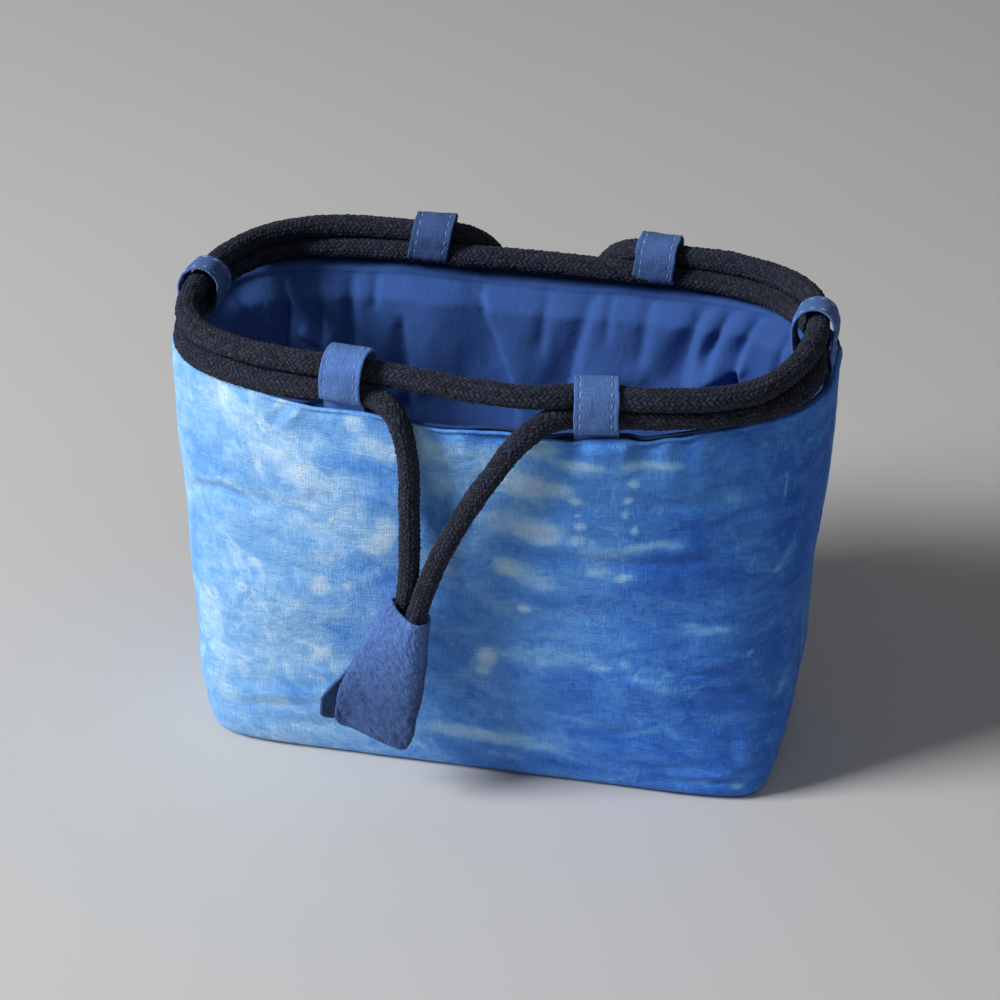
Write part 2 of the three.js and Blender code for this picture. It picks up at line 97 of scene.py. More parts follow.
# Loose vertical folds of the lining, which stand in from the shell: direction, half width in degrees, how far they
# stand in, the heights between which they run, and how many degrees they drift on the way down.
FOLDS = table(
    "at wide deep low high drift",
    [18, 7, 3, 20, 122, 4], [40, 3.4, 4.6, 30, 126, 6], [50, 3.2, 4.4, 24, 127, 7], [60, 4.4, 3.2, 12, 126, -2],
    [78, 6, 2.6, 10, 124, 5], [94, 5.4, 4.2, 8, 127, -6], [107, 5, 5, 10, 127, 5], [124, 7, 3.6, 10, 124, 3],
    [143, 5, 3, 14, 124, -2], [163, 7, 3, 18, 122, 2], [200, 8, 2.4, 18, 120, 2], [238, 8, 3, 12, 122, -3],
    [270, 9, 2.6, 12, 120, 3], [306, 8, 3, 14, 122, 2], [338, 7, 2.6, 18, 122, -2],
)

# Sewing creases and puffs of the shell. at is how far along the wall from the middle of its panel, z the height,
# long and wide the half sizes, tilt in degrees, bow how far its ends curl up, and out its relief.
FRONT_CREASES = table(
    "at z long wide tilt bow out",
    [-84, 91.5, 12, 2.0, 12, -2.5, -1.25], [-83, 96, 13, 3.2, 12, -2.5, 0.8], [28, 106.5, 11, 2.8, -2, 1.5, -0.7],
    [28, 101, 16, 3.0, -2, 1.5, 0.5], [64, 108, 18, 2.4, -4, 2, -0.85], [62, 103, 17, 2.6, -4, 2, 0.55],
    [24, 89, 14, 2.2, -8, 1.5, -0.85], [24, 93.5, 14, 2.6, -8, 1.5, 0.5], [56, 88, 14, 2.2, 1, 1, -0.9],
    [57, 92, 14, 2.6, 3, 1, 0.5], [91, 95, 13, 2.0, 10, 1.5, -0.8], [89, 99, 13, 2.6, 10, 1.5, 0.5],
    [27, 69, 22, 2.6, -2, 2, -0.6], [70, 48, 12, 1.9, -9, 1.5, -0.75], [68, 52, 12, 2.4, -9, 1.5, 0.5],
    [20, 21, 16, 2.6, -4, 2, -0.6], [40, 24, 14, 2.4, -12, 2, -0.75], [42, 28.5, 14, 2.8, -10, 2, 0.55],
    [58, 11.5, 18, 2.0, 5, 2, -0.6], [82, 41, 8, 2.2, 8, 1, -0.55], [-68, 17, 14, 2.4, 9, 1, -0.8],
    [-66, 21.5, 14, 2.8, 9, 1, 0.5], [-58, 27, 12, 2.2, 6, 1, -0.5], [-60, 12, 16, 2.2, 2, 1, -0.5],
    [-48, 97, 10, 2.6, 35, 0, -0.45], [-66, 124, 1.8, 5, 32, 0, -0.5], [-52, 126, 1.6, 6, -36, 0, 0.5],
    [-56, 126, 1.5, 6, -34, 0, -0.5], [-18, 108, 13, 2.6, -8, 1, -0.4], [74, 7.5, 8, 1.5, 14, 1, -1.3],
    [77, 10.5, 8, 1.6, 15, 1, 0.9], [62, 6.5, 7, 1.5, -6, 1, -0.6], [79, 20, 2.4, 9, 12, 0, -0.5],
)
BACK_CREASES = table(
    "at z long wide tilt bow out",
    [-70, 98, 18, 2.6, 8, 2, -0.9], [-68, 103, 17, 3, 8, 2, 0.5], [-22, 84, 20, 2.8, -5, 2, -0.8],
    [-20, 89, 18, 3, -5, 2, 0.5], [34, 106, 18, 2.6, -8, -2, -0.8], [62, 74, 16, 2.6, 10, 2, -0.9],
    [60, 79, 15, 3, 10, 2, 0.5], [10, 48, 22, 2.6, 3, 2, -0.6], [-58, 40, 16, 2.4, -8, 1, -0.7],
    [48, 24, 18, 2.4, 5, 2, -0.7], [-30, 16, 18, 2.4, 4, 1, -0.6], [-76, 9, 8, 1.6, -12, 1, -1],
    [72, 7.5, 9, 1.5, 10, 1.5, -1.4], [86, 6, 5, 3, 20, 0, 1.0],
)


def degrees_from(a, b):
    """Degrees from direction b to direction a, between -180 and 180."""
    return (a - b + 180) % 360 - 180


def bell(distance, spread):
    """exp(-(distance / spread)^2)."""
    return np.exp(-((distance / spread) ** 2))


def fade(x):
    """0 below 0, 1 above 1, and 3x^2 - 2x^3 between them."""
    x = np.clip(x, 0, 1)
    return x * x * (3 - 2 * x)


def between(rows, key, at):
    """A table's columns at places between its rows: cubics through the rows' values whose slopes are those of the
    neighbouring rows."""
    x = rows[key]
    count = np.arange(len(x))
    before, after = np.maximum(count - 1, 0), np.minimum(count + 1, len(x) - 1)
    i = np.clip(np.searchsorted(x, at) - 1, 0, len(x) - 2)
    step = x[i + 1] - x[i]
    t = np.clip((at - x[i]) / step, 0, 1)
    rest = 1 - t

    def column(y):
        slope = (y[after] - y[before]) / (x[after] - x[before])
        return (
            y[i] * (1 + 2 * t) * rest**2
            + slope[i] * step * t * rest**2
            + y[i + 1] * t**2 * (3 - 2 * t)
            - slope[i + 1] * step * t**2 * rest
        )

    return {name: column(y) for name, y in rows.items()}


def wall(degrees, z, inset):
    """Points of the bag's walls. The outline is the direction (cos, sin), stretched to the half sizes and scaled until
    |x|^n + |y|^n = 1, then moved in along its level normal by the inset, the base fold and the swellings."""
    degrees, z, inset = np.broadcast_arrays(*(np.asarray(v, float) for v in (degrees, z, inset)))
    turn = np.radians(degrees)
    c, s = np.cos(turn), np.sin(turn)
    front = s < 0
    section = between(SECTIONS, "z", z)
    length, depth = section["length"], np.where(front, section["front"], section["back"])
    n = np.where(front, section["front_square"], section["back_square"])
    scale = (np.abs(c) ** n + np.abs(s) ** n) ** (-1 / n)
    out_x = np.sign(c) * np.abs(c * scale) ** (n - 1) / length
    out_y = np.sign(s) * np.abs(s * scale) ** (n - 1) / depth
    size = np.hypot(out_x, out_y)
    swell = sum(
        out * bell(degrees_from(degrees, at), spread) * bell(z - height, up)
        for at, height, spread, up, out in zip(*SWELLS.values())
    )
    low = np.clip(BASE_FOLD - z, 0, BASE_FOLD)
    offset = swell - (BASE_FOLD - np.sqrt(BASE_FOLD**2 - low**2)) - inset
    rise = sum(r * bell(degrees_from(degrees, at), spread) for at, r, spread in zip(*RISES.values()))
    return np.stack(
        [
            section["middle"] + length * c * scale + out_x / size * offset,
            depth * s * scale + out_y / size * offset,
            z + rise * (z / RIM_HEIGHT) ** 3,
        ],
        -1,
    )


def unit(vectors):
    """Vectors brought to length 1."""
    return vectors / np.maximum(np.linalg.norm(vectors, axis=-1, keepdims=True), 1e-9)


def grid_normals(points):
    """The normals of a grid of points."""
    return unit(np.cross(np.gradient(points, axis=1), np.gradient(points, axis=0)))


def distances(line):
    """How far along a line each of its points lies."""
    return np.concatenate([[0], np.cumsum(np.linalg.norm(np.diff(line, axis=0), axis=1))])


def sampled(at, far, line):
    """The points of a line at some distances along it, where far holds its own points' distances."""
    return np.stack([np.interp(at, far, column) for column in line.T], -1)


def cloud(x, y, seed, around=64):
    """Smooth noise between -1 and 1: seeded values on a unit lattice, blended by 3t^2 - 2t^3 and repeating every
    `around` cells in x."""
    values = np.random.default_rng(seed).uniform(-1, 1, (64, around))
    i, j = np.floor(x).astype(int), np.floor(y).astype(int)
    s, t = fade(x - i), fade(y - j)

    def at(a, b):
        return values[b % 64, a % around]

    below = at(i, j) * (1 - s) + at(i + 1, j) * s
    above = at(i, j + 1) * (1 - s) + at(i + 1, j + 1) * s
    return below * (1 - t) + above * t


def round_cloud(turn, y, seed, cells):
    """Smooth noise with a number of cells once round the bag, where turn runs from 0 to 1."""
    return cloud(turn * cells, y, seed, cells)


def tilted(at, z, middle, height, tilt):
    """How far places lie along and across a line that tilts through its middle."""
    c, s = math.cos(math.radians(tilt)), math.sin(math.radians(tilt))
    return (at - middle) * c + (z - height) * s, (z - height) * c - (at - middle) * s


def creases(rows, at, z):
    """The relief of a table of creases: each is a bell across times a bell along its own tilted, bowed line."""
    total = np.zeros(np.broadcast(at, z).shape)
    for middle, height, long, wide, tilt, bow, out in zip(*rows.values()):
        along, across = tilted(at, z, middle, height, tilt)
        along = along / long
        total += out * bell(along, 1) * bell(across - bow * along**2, wide)
    return total


def arcs(points, start):
    """How far each point of a closed grid's rows lies along its row from the column `start`. The last column repeats
    the first."""
    steps = np.linalg.norm(np.diff(points, axis=1), axis=-1)
    far = np.concatenate([np.zeros((len(points), 1)), np.cumsum(steps, axis=1)], axis=1)
    return far - far[:, start : start + 1]


# ---------------------------------------------------------------------------------------------------------------------
# Meshes
# ---------------------------------------------------------------------------------------------------------------------


def placed(name, data):
    """A new object in the scene."""
    made = bpy.data.objects.new(name, data)
    bpy.context.scene.collection.objects.link(made)
    return made


def make_piece(name, points, faces, material, uv=None, values=None, replaces=()):
    """A smooth mesh from points in millimetres, four- and three-cornered faces (-1 for a missing corner), corner UVs
    in metres and named values at its points. It rides on the bag's body."""
    count = (faces >= 0).sum(axis=1)
    corners = faces[faces >= 0]
    mesh = bpy.data.meshes.new(name)
    mesh.vertices.add(len(points))
    mesh.vertices.foreach_set("co", (np.asarray(points) * MM).astype(np.float32).ravel())
    mesh.loops.add(len(corners))
    mesh.loops.foreach_set("vertex_index", corners.astype(np.int32))
    mesh.polygons.add(len(faces))
    mesh.polygons.foreach_set("loop_start", np.concatenate([[0], np.cumsum(count)[:-1]]).astype(np.int32))
    mesh.polygons.foreach_set("use_smooth", np.ones(len(faces), bool))
    mesh.update(calc_edges=True)
    if uv is not None:
        layer = mesh.uv_layers.new(name="cloth")
        layer.uv.foreach_set("vector", (uv[faces >= 0] * MM).astype(np.float32).ravel())
    for key, value in (values or {}).items():
        mesh.attributes.new(key, "FLOAT", "POINT").data.foreach_set("value", value.astype(np.float32).ravel())
    if mesh.validate():
        raise RuntimeError(f"{name} has faulty faces")
    mesh.materials.append(material)
    piece = placed(name, mesh)
    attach(piece, BODY)
    if replaces:
        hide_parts(*replaces)
    return piece


def grid_faces(rows, columns, wrap):
    """Four-cornered faces between the rows of a grid of points, with its columns joined round if wrap is set."""
    r, c = np.meshgrid(np.arange(rows - 1), np.arange(columns if wrap else columns - 1), indexing="ij")
    after = (c + 1) % columns
    return np.stack([r * columns + c, r * columns + after, (r + 1) * columns + after, (r + 1) * columns + c], -1)


def corner_values(grid):
    """The values of a grid of points at the corners of its faces, in the order of grid_faces."""
    return np.stack([grid[:-1, :-1], grid[:-1, 1:], grid[1:, 1:], grid[1:, :-1]], axis=2)


def closed_skin(points, uv):
    """A closed body over rings of points (rows x columns + 1, the last column repeating the first), with a fan to the
    middle of the extent of the first and last ring. Returns points, faces and corner UVs."""
    rows, columns = len(points), points.shape[1] - 1
    ring = points[:, :-1]
    sides = grid_faces(rows, columns, True).reshape(-1, 4)
    side_uv = uv.reshape(-1, 4, 2)
    first = np.arange(columns)
    after = (first + 1) % columns
    top = (rows - 1) * columns
    bottom_middle, top_middle = rows * columns, rows * columns + 1
    gone = np.full(columns, -1)
    fans = np.concatenate(
        [
            np.stack([np.full(columns, bottom_middle), after, first, gone], -1),
            np.stack([np.full(columns, top_middle), top + first, top + after, gone], -1),
        ]
    )
    ends = ring[[0, -1]]
    everything = np.concatenate([ring.reshape(-1, 3), (ends.min(axis=1) + ends.max(axis=1)) / 2])
    fan_uv = everything[np.maximum(fans, 0)][..., :2]
    return everything, np.concatenate([sides, fans]), np.concatenate([side_uv, fan_uv])


def drawn_in(ring, by, heights):
    """Copies of a level ring, each scaled towards the middle of its extent so that its ends and its sides stand in by
    the same distance, and each at its own height. Scaling never folds a ring over, as a wide offset does at its
    corners."""
    low, high = ring[:, :2].min(axis=0), ring[:, :2].max(axis=0)
    middle = (low + high) / 2
    share = 1 - np.asarray(by, float)[:, None] / ((high - low) / 2)
    made = np.repeat(ring[None], len(share), 0)
    made[..., :2] = middle + (ring[:, :2] - middle) * share[:, None]
    made[..., 2] = np.asarray(heights, float)[:, None]
    return made


def edged(count, length, thick):
    """Places from 0 to 1 along a cloth of a length, evenly spaced but crowded in the last half thickness at both ends,
    where its edge is rounded."""
    near = np.array([0, 0.03, 0.12, 0.27, 0.5]) * thick / length
    return np.concatenate([near, np.linspace(near[-1], 1 - near[-1], count)[1:-1], 1 - near[::-1]])


def cloth_skin(middle, thick, lift=0.0):
    """A closed sheet around a grid of middle points: both faces stand half the thickness off it along its normals, and
    meet in a half circle at its four edges. lift is an extra relief of the two faces, outwards. Returns points, faces
    and, for each point, its row and column in the grid."""
    normal = grid_normals(middle)
    rows, columns = middle.shape[:2]

    def from_edges(points, axis):
        steps = np.linalg.norm(np.diff(points, axis=axis), axis=-1)
        far = np.cumsum(steps, axis=axis)
        far = np.concatenate([np.zeros_like(far.take([0], axis)), far], axis=axis)
        return np.minimum(far, far.take([-1], axis) - far)

    inside = np.minimum(from_edges(middle, 0), from_edges(middle, 1)) / (thick / 2)
    half = thick / 2 * np.sqrt(1 - (1 - np.clip(inside, 0, 1)) ** 2)
    open_area = fade(inside)
    upper = middle + normal * (half + lift * open_area)[..., None]
    lower = middle - normal * (half + lift * open_area)[..., None]
    upper_index = np.arange(rows * columns).reshape(rows, columns)
    lower_index = upper_index.copy()
    lower_index[1:-1, 1:-1] = rows * columns + np.arange((rows - 2) * (columns - 2)).reshape(rows - 2, columns - 2)
    quads = grid_faces(rows, columns, False).reshape(-1, 4)
    faces = np.concatenate([quads, lower_index.ravel()[quads][:, ::-1]])
    r, c = np.meshgrid(np.arange(rows), np.arange(columns), indexing="ij")
    place = np.stack([r, c], -1)
    return (
        np.concatenate([upper.reshape(-1, 3), lower[1:-1, 1:-1].reshape(-1, 3)]),
        faces,
        np.concatenate([place.reshape(-1, 2), place[1:-1, 1:-1].reshape(-1, 2)]),
    )


# ---------------------------------------------------------------------------------------------------------------------
# Shell
# ---------------------------------------------------------------------------------------------------------------------

# The dye on the front panel: place along and up the wall, half sizes, tilt, how much paler (or deeper) it is, and how
# warm its undyed cotton looks.
FRONT_DYE = table(
    "at z long wide tilt pale warm",
    [-82, 125, 15, 7, -15, 0.15, 0], [-62, 118, 17, 6, -20, 0.14, 0], [-57, 108, 19, 5, -12, 0.14, 0.2],
    [-56, 129, 4, 1.2, 50, 0.3, 0], [-51, 127, 3, 0.9, 50, 0.3, 0], [-85, 102, 13, 5.5, -10, -0.14, 0],
    [-78, 97, 9, 1.0, -15, 0.22, 0], [-92, 112, 7, 5, 20, -0.1, 0], [-42, 98, 20, 14, -15, 0.13, 0.9],
    [-52, 108, 9, 6, -30, 0.1, 0.4], [-58.5, 101, 6, 3, 0, -0.22, 0], [-64, 104, 1.2, 6, 15, 0.2, 0.2],
    [-33, 126, 3.5, 2.4, 0, 0.3, 0.4], [-26, 119, 9, 3.4, 0, 0.3, 0.4], [-36, 113, 12, 3, 0, -0.12, 0],
    [-25, 90, 3.0, 6, -20, 0.34, 0.7], [-28, 86, 5.0, 3, 20, 0.30, 0.7], [-12, 125, 4, 5, 0, 0.22, 0],
    [-4, 121, 6, 5, 0, 0.10, 0], [-14, 112, 4, 6, 20, -0.06, 0], [-68, 71, 2.4, 1.7, 0, 0.36, 0.8],
    [-66, 67, 1.5, 2.2, 0, 0.34, 0.8], [-47, 67, 3.0, 2.4, 10, 0.42, 1], [-46, 70.5, 1.8, 1.8, 0, 0.4, 1],
    [-38, 69, 1.2, 1.2, 0, 0.4, 0.6], [-73, 61, 1.6, 1.6, 0, 0.42, 0], [-73, 61, 0.8, 0.8, 0, -0.4, 0],
    [-76, 72, 3.5, 8, 25, 0.18, 0], [-48, 41, 4.2, 2.0, 40, 0.24, 0.2], [-45, 37, 1.2, 4.4, 20, 0.2, 0.2],
    [-52, 44, 5, 1.1, -20, 0.18, 0.2], [-59, 32, 1.8, 4, 30, 0.22, 0.3], [-65, 18.5, 6, 2.6, 8, 0.36, 0],
    [-88, 44, 9, 14, -20, 0.22, 0], [-80, 30, 8, 8, 0, 0.10, 0], [-104, 62, 10, 30, 0, -0.10, 0],
    [-110, 100, 8, 22, 0, 0.14, 0], [-92, 76, 7, 9, 0, -0.18, 0], [-60, 56, 14, 6, 10, 0.12, 0.1],
    [-30, 74, 14, 5, 0, -0.16, 0], [-34, 58, 16, 3, -4, 0.08, 0.2], [-28, 46, 14, 6, 0, -0.14, 0],
    [-4, 62, 12, 5, 0, -0.06, 0], [-52, 26, 20, 3, 3, -0.16, 0], [21.5, 126, 5.5, 3.4, 0, 0.26, 0.2],
    [10, 121, 6, 4, 30, 0.14, 0], [6, 128, 7, 3, 0, -0.14, 0], [34, 122, 7, 1.6, 0, 0.36, 0.2],
    [50, 122.5, 4.6, 1.5, 0, 0.36, 0], [58.5, 121.5, 4.6, 1.4, -8, 0.32, 0], [44, 118, 16, 4, -4, 0.14, 0],
    [18, 113, 9, 3.6, 0, 0.38, 1], [29, 113, 4, 2.6, 0, 0.22, 0.6], [22, 97.5, 7, 4.2, 0, 0.40, 1],
    [11, 100, 9, 5, 0, 0.20, 0.5], [32.3, 109.7, 1.8, 1.1, 0, 0.44, 1], [33, 105, 0.8, 0.7, 0, 0.36, 1],
    [33.7, 101.4, 1.6, 1.1, 0, 0.44, 1], [32.6, 96, 2.6, 1.8, 20, 0.34, 0.8], [47.3, 110.3, 1.3, 1.0, 0, 0.44, 1],
    [46.6, 105.8, 1.1, 1.5, 0, 0.36, 0.8], [49.3, 100, 1.2, 1.6, 0, 0.44, 1], [49, 116.5, 1.3, 1.8, 30, 0.3, 0.4],
    [54, 95, 9, 1.4, 9, 0.36, 0.2], [61, 94.5, 3, 1.2, 0, 0.3, 0], [40, 92, 10, 3, 3, 0.16, 0.2],
    [11.5, 84, 4.4, 3, -25, 0.32, 0.6], [19, 80, 7, 5, -20, 0.20, 0.5], [38, 84.5, 3.4, 1.8, 0, 0.3, 0.3],
    [46, 83, 3.6, 1.6, 12, 0.28, 0.3], [16, 68, 1.6, 1.2, 0, 0.4, 0.7], [30, 74, 20, 3, -3, -0.12, 0],
    [70, 100, 18, 7, 0, -0.08, 0], [78, 108, 5, 4, 0, 0.14, 0], [95, 108, 0.5, 4, -10, 0.34, 0],
    [66, 84, 18, 7, 0, -0.10, 0], [97, 86, 4.5, 2.0, 55, 0.26, 0], [93, 82, 2.2, 1.2, 40, 0.26, 0],
    [102, 92, 14, 24, 0, -0.08, 0], [71, 64, 9, 1.5, 5, 0.28, 0], [66, 66, 4, 1.0, 0, 0.24, 0],
    [36, 60, 18, 2.0, 0, 0.10, 0.1], [27, 51, 24, 3.4, 0, 0.12, 0.1], [39, 49, 4, 1.4, 0, 0.2, 0.1],
    [46, 51, 2, 2.6, 20, 0.22, 0.1], [60, 43, 9, 2.6, -10, 0.16, 0], [52, 46, 6, 1.2, -8, 0.18, 0],
    [54, 56, 14, 1.4, 3, 0.12, 0], [84, 55, 1.6, 0.8, 45, 0.32, 0], [86, 51, 1.0, 1.2, 0, 0.24, 0.3],
    [95, 39, 3.4, 1.8, 45, 0.26, 0], [74, 32, 11, 2.4, -8, 0.14, 0], [51, 25, 7, 1.2, 18, 0.22, 0],
    [60, 27, 1.4, 4.5, 40, 0.26, 0], [36, 27, 16, 1.4, -5, 0.16, 0.2], [4.6, 48, 2.6, 3.2, 0, 0.42, 1],
    [3, 43, 2.2, 1.6, 0, 0.34, 0.8], [13, 15.5, 14, 3, -4, 0.24, 0], [-6, 16.5, 11, 3, -4, 0.32, 0],
    [8, 9, 6, 1.6, -4, 0.16, 0.5], [30, 8, 16, 2, -3, -0.12, 0], [70, 7, 4, 1.2, 10, 0.3, 0],
    [81, 6, 2.2, 1.4, 0, 0.36, 0], [-36, 12, 12, 2, 4, 0.10, 0.3], [-12, 80, 7, 8, 0, 0.16, 0],
    [-3, 88, 8, 3, 10, 0.12, 0.4], [-8, 100, 4, 7, 15, -0.08, 0], [6, 114, 24, 14, 0, 0.13, 0],
    [2, 62, 34, 34, 0, 0.05, 0.3],
)


def blots(rows, at, z):
    """How pale and how warm a table of dye blots makes the places of a panel: each is a tilted ellipse that fades by
    exp(-r^3)."""
    pale, warm = np.zeros(at.shape), np.zeros(at.shape)
    for middle, height, long, wide, tilt, strength, warmth in zip(*rows.values()):
        along, across = tilted(at, z, middle, height, tilt)
        spot = np.exp(-np.hypot(along / long, across / wide) ** 3)
        pale += strength * spot
        warm += warmth * np.abs(strength) * spot
    return pale, warm


def back_dye():
    """A table of dye blots for the back panel, scattered by a seeded draw."""
    draw = np.random.default_rng(11)
    count = 90
    big = draw.random(count) < 0.35
    return table(
        "at z long wide tilt pale warm",
        *np.stack(
            [
                draw.uniform(-112, 112, count),
                draw.uniform(4, 130, count),
                np.where(big, draw.uniform(7, 18, count), draw.uniform(1.2, 5, count)),
                np.where(big, draw.uniform(3, 8, count), draw.uniform(0.8, 2.6, count)),
                draw.normal(0, 16, count),
                np.where(draw.random(count) < 0.3, -0.18, draw.uniform(0.1, 0.36, count)),
                draw.random(count) ** 2,
            ],
            -1,
        ),
    )


BACK_PALE = 0.34  # how pale the back panel is between its blots
LEVEL_PALE = 0.62  # how pale the cloth can be before it levels off
WARMTH = 1.6


def dye_values(at, height, is_front):
    """The dye at places of the wall: how pale it is, how warm its undyed cotton looks, how much of it is a blot, and
    how streaky it is."""
    front_pale, front_warm = blots(FRONT_DYE, at, height)
    back_pale, back_warm = blots(back_dye(), at, height)
    # The cloth was dipped so that it deepens from left to right.
    base = 0.64 - 0.26 * fade((at + 62) / 60) - 0.13 * fade((at - 10) / 90)
    # A paler patch below the rim, just right of the front cord's left leg, is painted light that lifts that leg's
    # shadow.
    base = base + 0.10 * bell(at + 5, 14) * bell(height - 119, 13)
    # Dark blots hardly show where the cloth is pale, and the dye pooled at the lower right.
    dark_share = 0.45 + 0.55 * fade((at + 40) / 50)
    pale_share = 0.85 - 0.22 * fade((at - 22) / 20)
    front_pale = np.where(front_pale < 0, front_pale * dark_share, front_pale * pale_share)
    front_pale -= 0.09 * bell(at - 60, 40) * bell(height - 30, 26)
    pale = np.where(is_front, base + front_pale, BACK_PALE + back_pale)
    # The palest places level off, because the cloth was never quite undyed.
    pale -= 0.5 * np.clip(pale - LEVEL_PALE, 0, None)
    middle_warm = 0.07 * bell(at - 2, 42) * fade((118 - height) / 16)
    front_blot = front_pale * (1 - 0.45 * bell(at - 2, 26) * bell(height - 112, 22))
    return {
        "pale": pale,
        "warm": np.where(is_front, WARMTH * front_warm + middle_warm, WARMTH * back_warm),
        "blot": np.clip(np.where(is_front, front_blot, back_pale), 0, 1),
        "streaky": np.where(is_front, fade((at + 35) / 60), 0.6),
    }


FRONT_COLUMNS, BACK_COLUMNS = 344, 136
SEAM_SCALE = 1.75  # millimetres of wall for each degree near the side seams


def directions(front_columns, back_columns):
    """Directions of a grid's columns once round the bag from its left end, over the front and then the back. The last
    repeats the first."""
    return np.concatenate([np.linspace(180, 360, front_columns + 1), np.linspace(360, 540, back_columns + 1)[1:]])


BACK_CLOTH = 400  # where the back panel's cloth lies along the UV map, clear of the front's


def along_panels(place, degrees, front_columns, back_columns):
    """How far the places of a grid lie along the wall from the middle of the front and of the back panel, which ones
    are in front, and the distance that counts at each."""
    front = arcs(place, front_columns // 2)
    back = -arcs(place, front_columns + back_columns // 2)
    is_front = (degrees < 360)[None, :]
    return front, back, is_front, np.where(is_front, front, back)


def skin_uv(rings, feet, front, back, degrees, z, inset):
    """Corner UVs of a closed skin: along and up the cloth on its wall, and level places on the rings of its foot, of
    which there are `feet`, and of its floor."""
    up = np.concatenate([[0], np.cumsum(np.hypot(np.diff(z), np.diff(inset)))])

    def cloth(along):
        return corner_values(np.stack([along, np.broadcast_to(up[:, None], along.shape)], -1))

    face_front = (degrees[:-1] < 360)[None, :, None, None]
    level = corner_values(rings[..., :2])
    wall_uv = np.where(face_front, cloth(front), cloth(BACK_CLOTH - back))
    return np.concatenate([level[:feet], wall_uv, level[feet + len(z) - 1 :]])


def build_shell(sizes, material):
    """The padded shell as one closed skin of rings: up the outer wall, over the rounded top edge, down the inner wall
    and across its floor. Its outer wall carries creases, puffs, rim puckers and the two side seams."""
    thick = sizes.shell_thickness / MM
    top = RIM_HEIGHT - ROLL_THICK - ROLL_CLEAR
    degrees = directions(FRONT_COLUMNS, BACK_COLUMNS)
    bend = np.linspace(0, np.pi / 2, 7)[1:]
    foot = BASE_FOLD * (1 - np.cos(bend))
    outside = np.concatenate([[0.0, 0.03], foot[:-1], np.linspace(BASE_FOLD, top - 1.0, 132)])
    lip = np.linspace(0, np.pi / 2, 6)[1:]
    z = np.concatenate(
        [outside, top - 1.0 + np.sin(lip), [top - 0.45, top - 1.3, top - 2.0, top - 2.7, 118, 96, 74, 52, 30, 9]]
    )
    inset = np.concatenate(
        [np.zeros(len(outside)), 1 - np.cos(lip), [1.6, 2.3, thick - 0.15, thick], np.full(6, thick)]
    )
    points = wall(degrees[None, :], z[:, None], inset[:, None])
    front, back, is_front, at = along_panels(points, degrees, FRONT_COLUMNS, BACK_COLUMNS)
    height = np.broadcast_to(z[:, None], at.shape)

    # The relief of the outer wall. Rim puckers are short vertical tucks, strongest at the front right.
    turn = (degrees[None, :] - 180) / 360
    relief = np.where(is_front, creases(FRONT_CREASES, at, height), creases(BACK_CREASES, at, height))
    side = np.minimum(np.abs(degrees_from(degrees, 0)), np.abs(degrees_from(degrees, 180)))[None, :]
    taut = 1 - 0.8 * bell(side, 26)
    relief += taut * (0.6 * round_cloud(turn, height / 17, 1, 22) + 0.32 * round_cloud(turn, height / 8, 2, 46))
    relief += 0.13 * round_cloud(turn, height / 3.6, 3, 110) + 0.07 * round_cloud(turn, height / 1.9, 4, 230)
    tight = 0.5 + 1.2 * np.where(is_front, bell(at - 50, 26), 0.2) + 0.5 * np.where(is_front, bell(at + 58, 12), 0)
    tucks = cloud(turn * 88 + 0.35 * round_cloud(turn, 0 * turn, 6, 30), 0 * turn + 0.5, 5, 88)
    below = top - height
    relief += tight * tucks * (bell(below - 1.5, 4.5) + 0.35 * bell(below - 5, 10))
    relief -= 0.7 * bell(below, 2.2)
    seam_mm = side * SEAM_SCALE
    relief -= 0.9 * bell(seam_mm, 1.1) + 0.25 * cloud(0 * turn, height / 4, 8) * bell(seam_mm, 6)
    relief *= fade(height / 3) * (inset[:, None] == 0)
    level = points - wall(degrees[None, :], z[:, None], inset[:, None] + 1)
    level[..., 2] = 0
    points = points + level * relief[..., None]
    # The top edge dips a little between its sewn puckers.
    points[..., 2] += 0.6 * tight * tucks * fade((height - (top - 4)) / 4)

    under = drawn_in(points[0], [14.0, 6.0, 2.0], [0.0, 0.0, 0.0])
    inner = drawn_in(points[-1], [2.0, 5.0], [thick + 0.9, thick])
    rings = np.concatenate([under, points, inner])
    uv = skin_uv(rings, len(under), front, back, degrees, z, inset)

    padded = {}
    for key, value in dye_values(at, height, is_front).items():
        rows = np.concatenate([np.repeat(value[:1], len(under), 0), value, np.repeat(value[-1:], len(inner), 0)])
        padded[key] = np.concatenate([rows[:, :-1].ravel(), [rows[0, 0], rows[-1, 0]]])
    made, faces, corner_uv = closed_skin(rings, uv)
    shell = make_piece(
        "padded_shell", made, faces, material, corner_uv, padded, replaces=["outer_shell"]
    )


# ---------------------------------------------------------------------------------------------------------------------
# Lining
# ---------------------------------------------------------------------------------------------------------------------

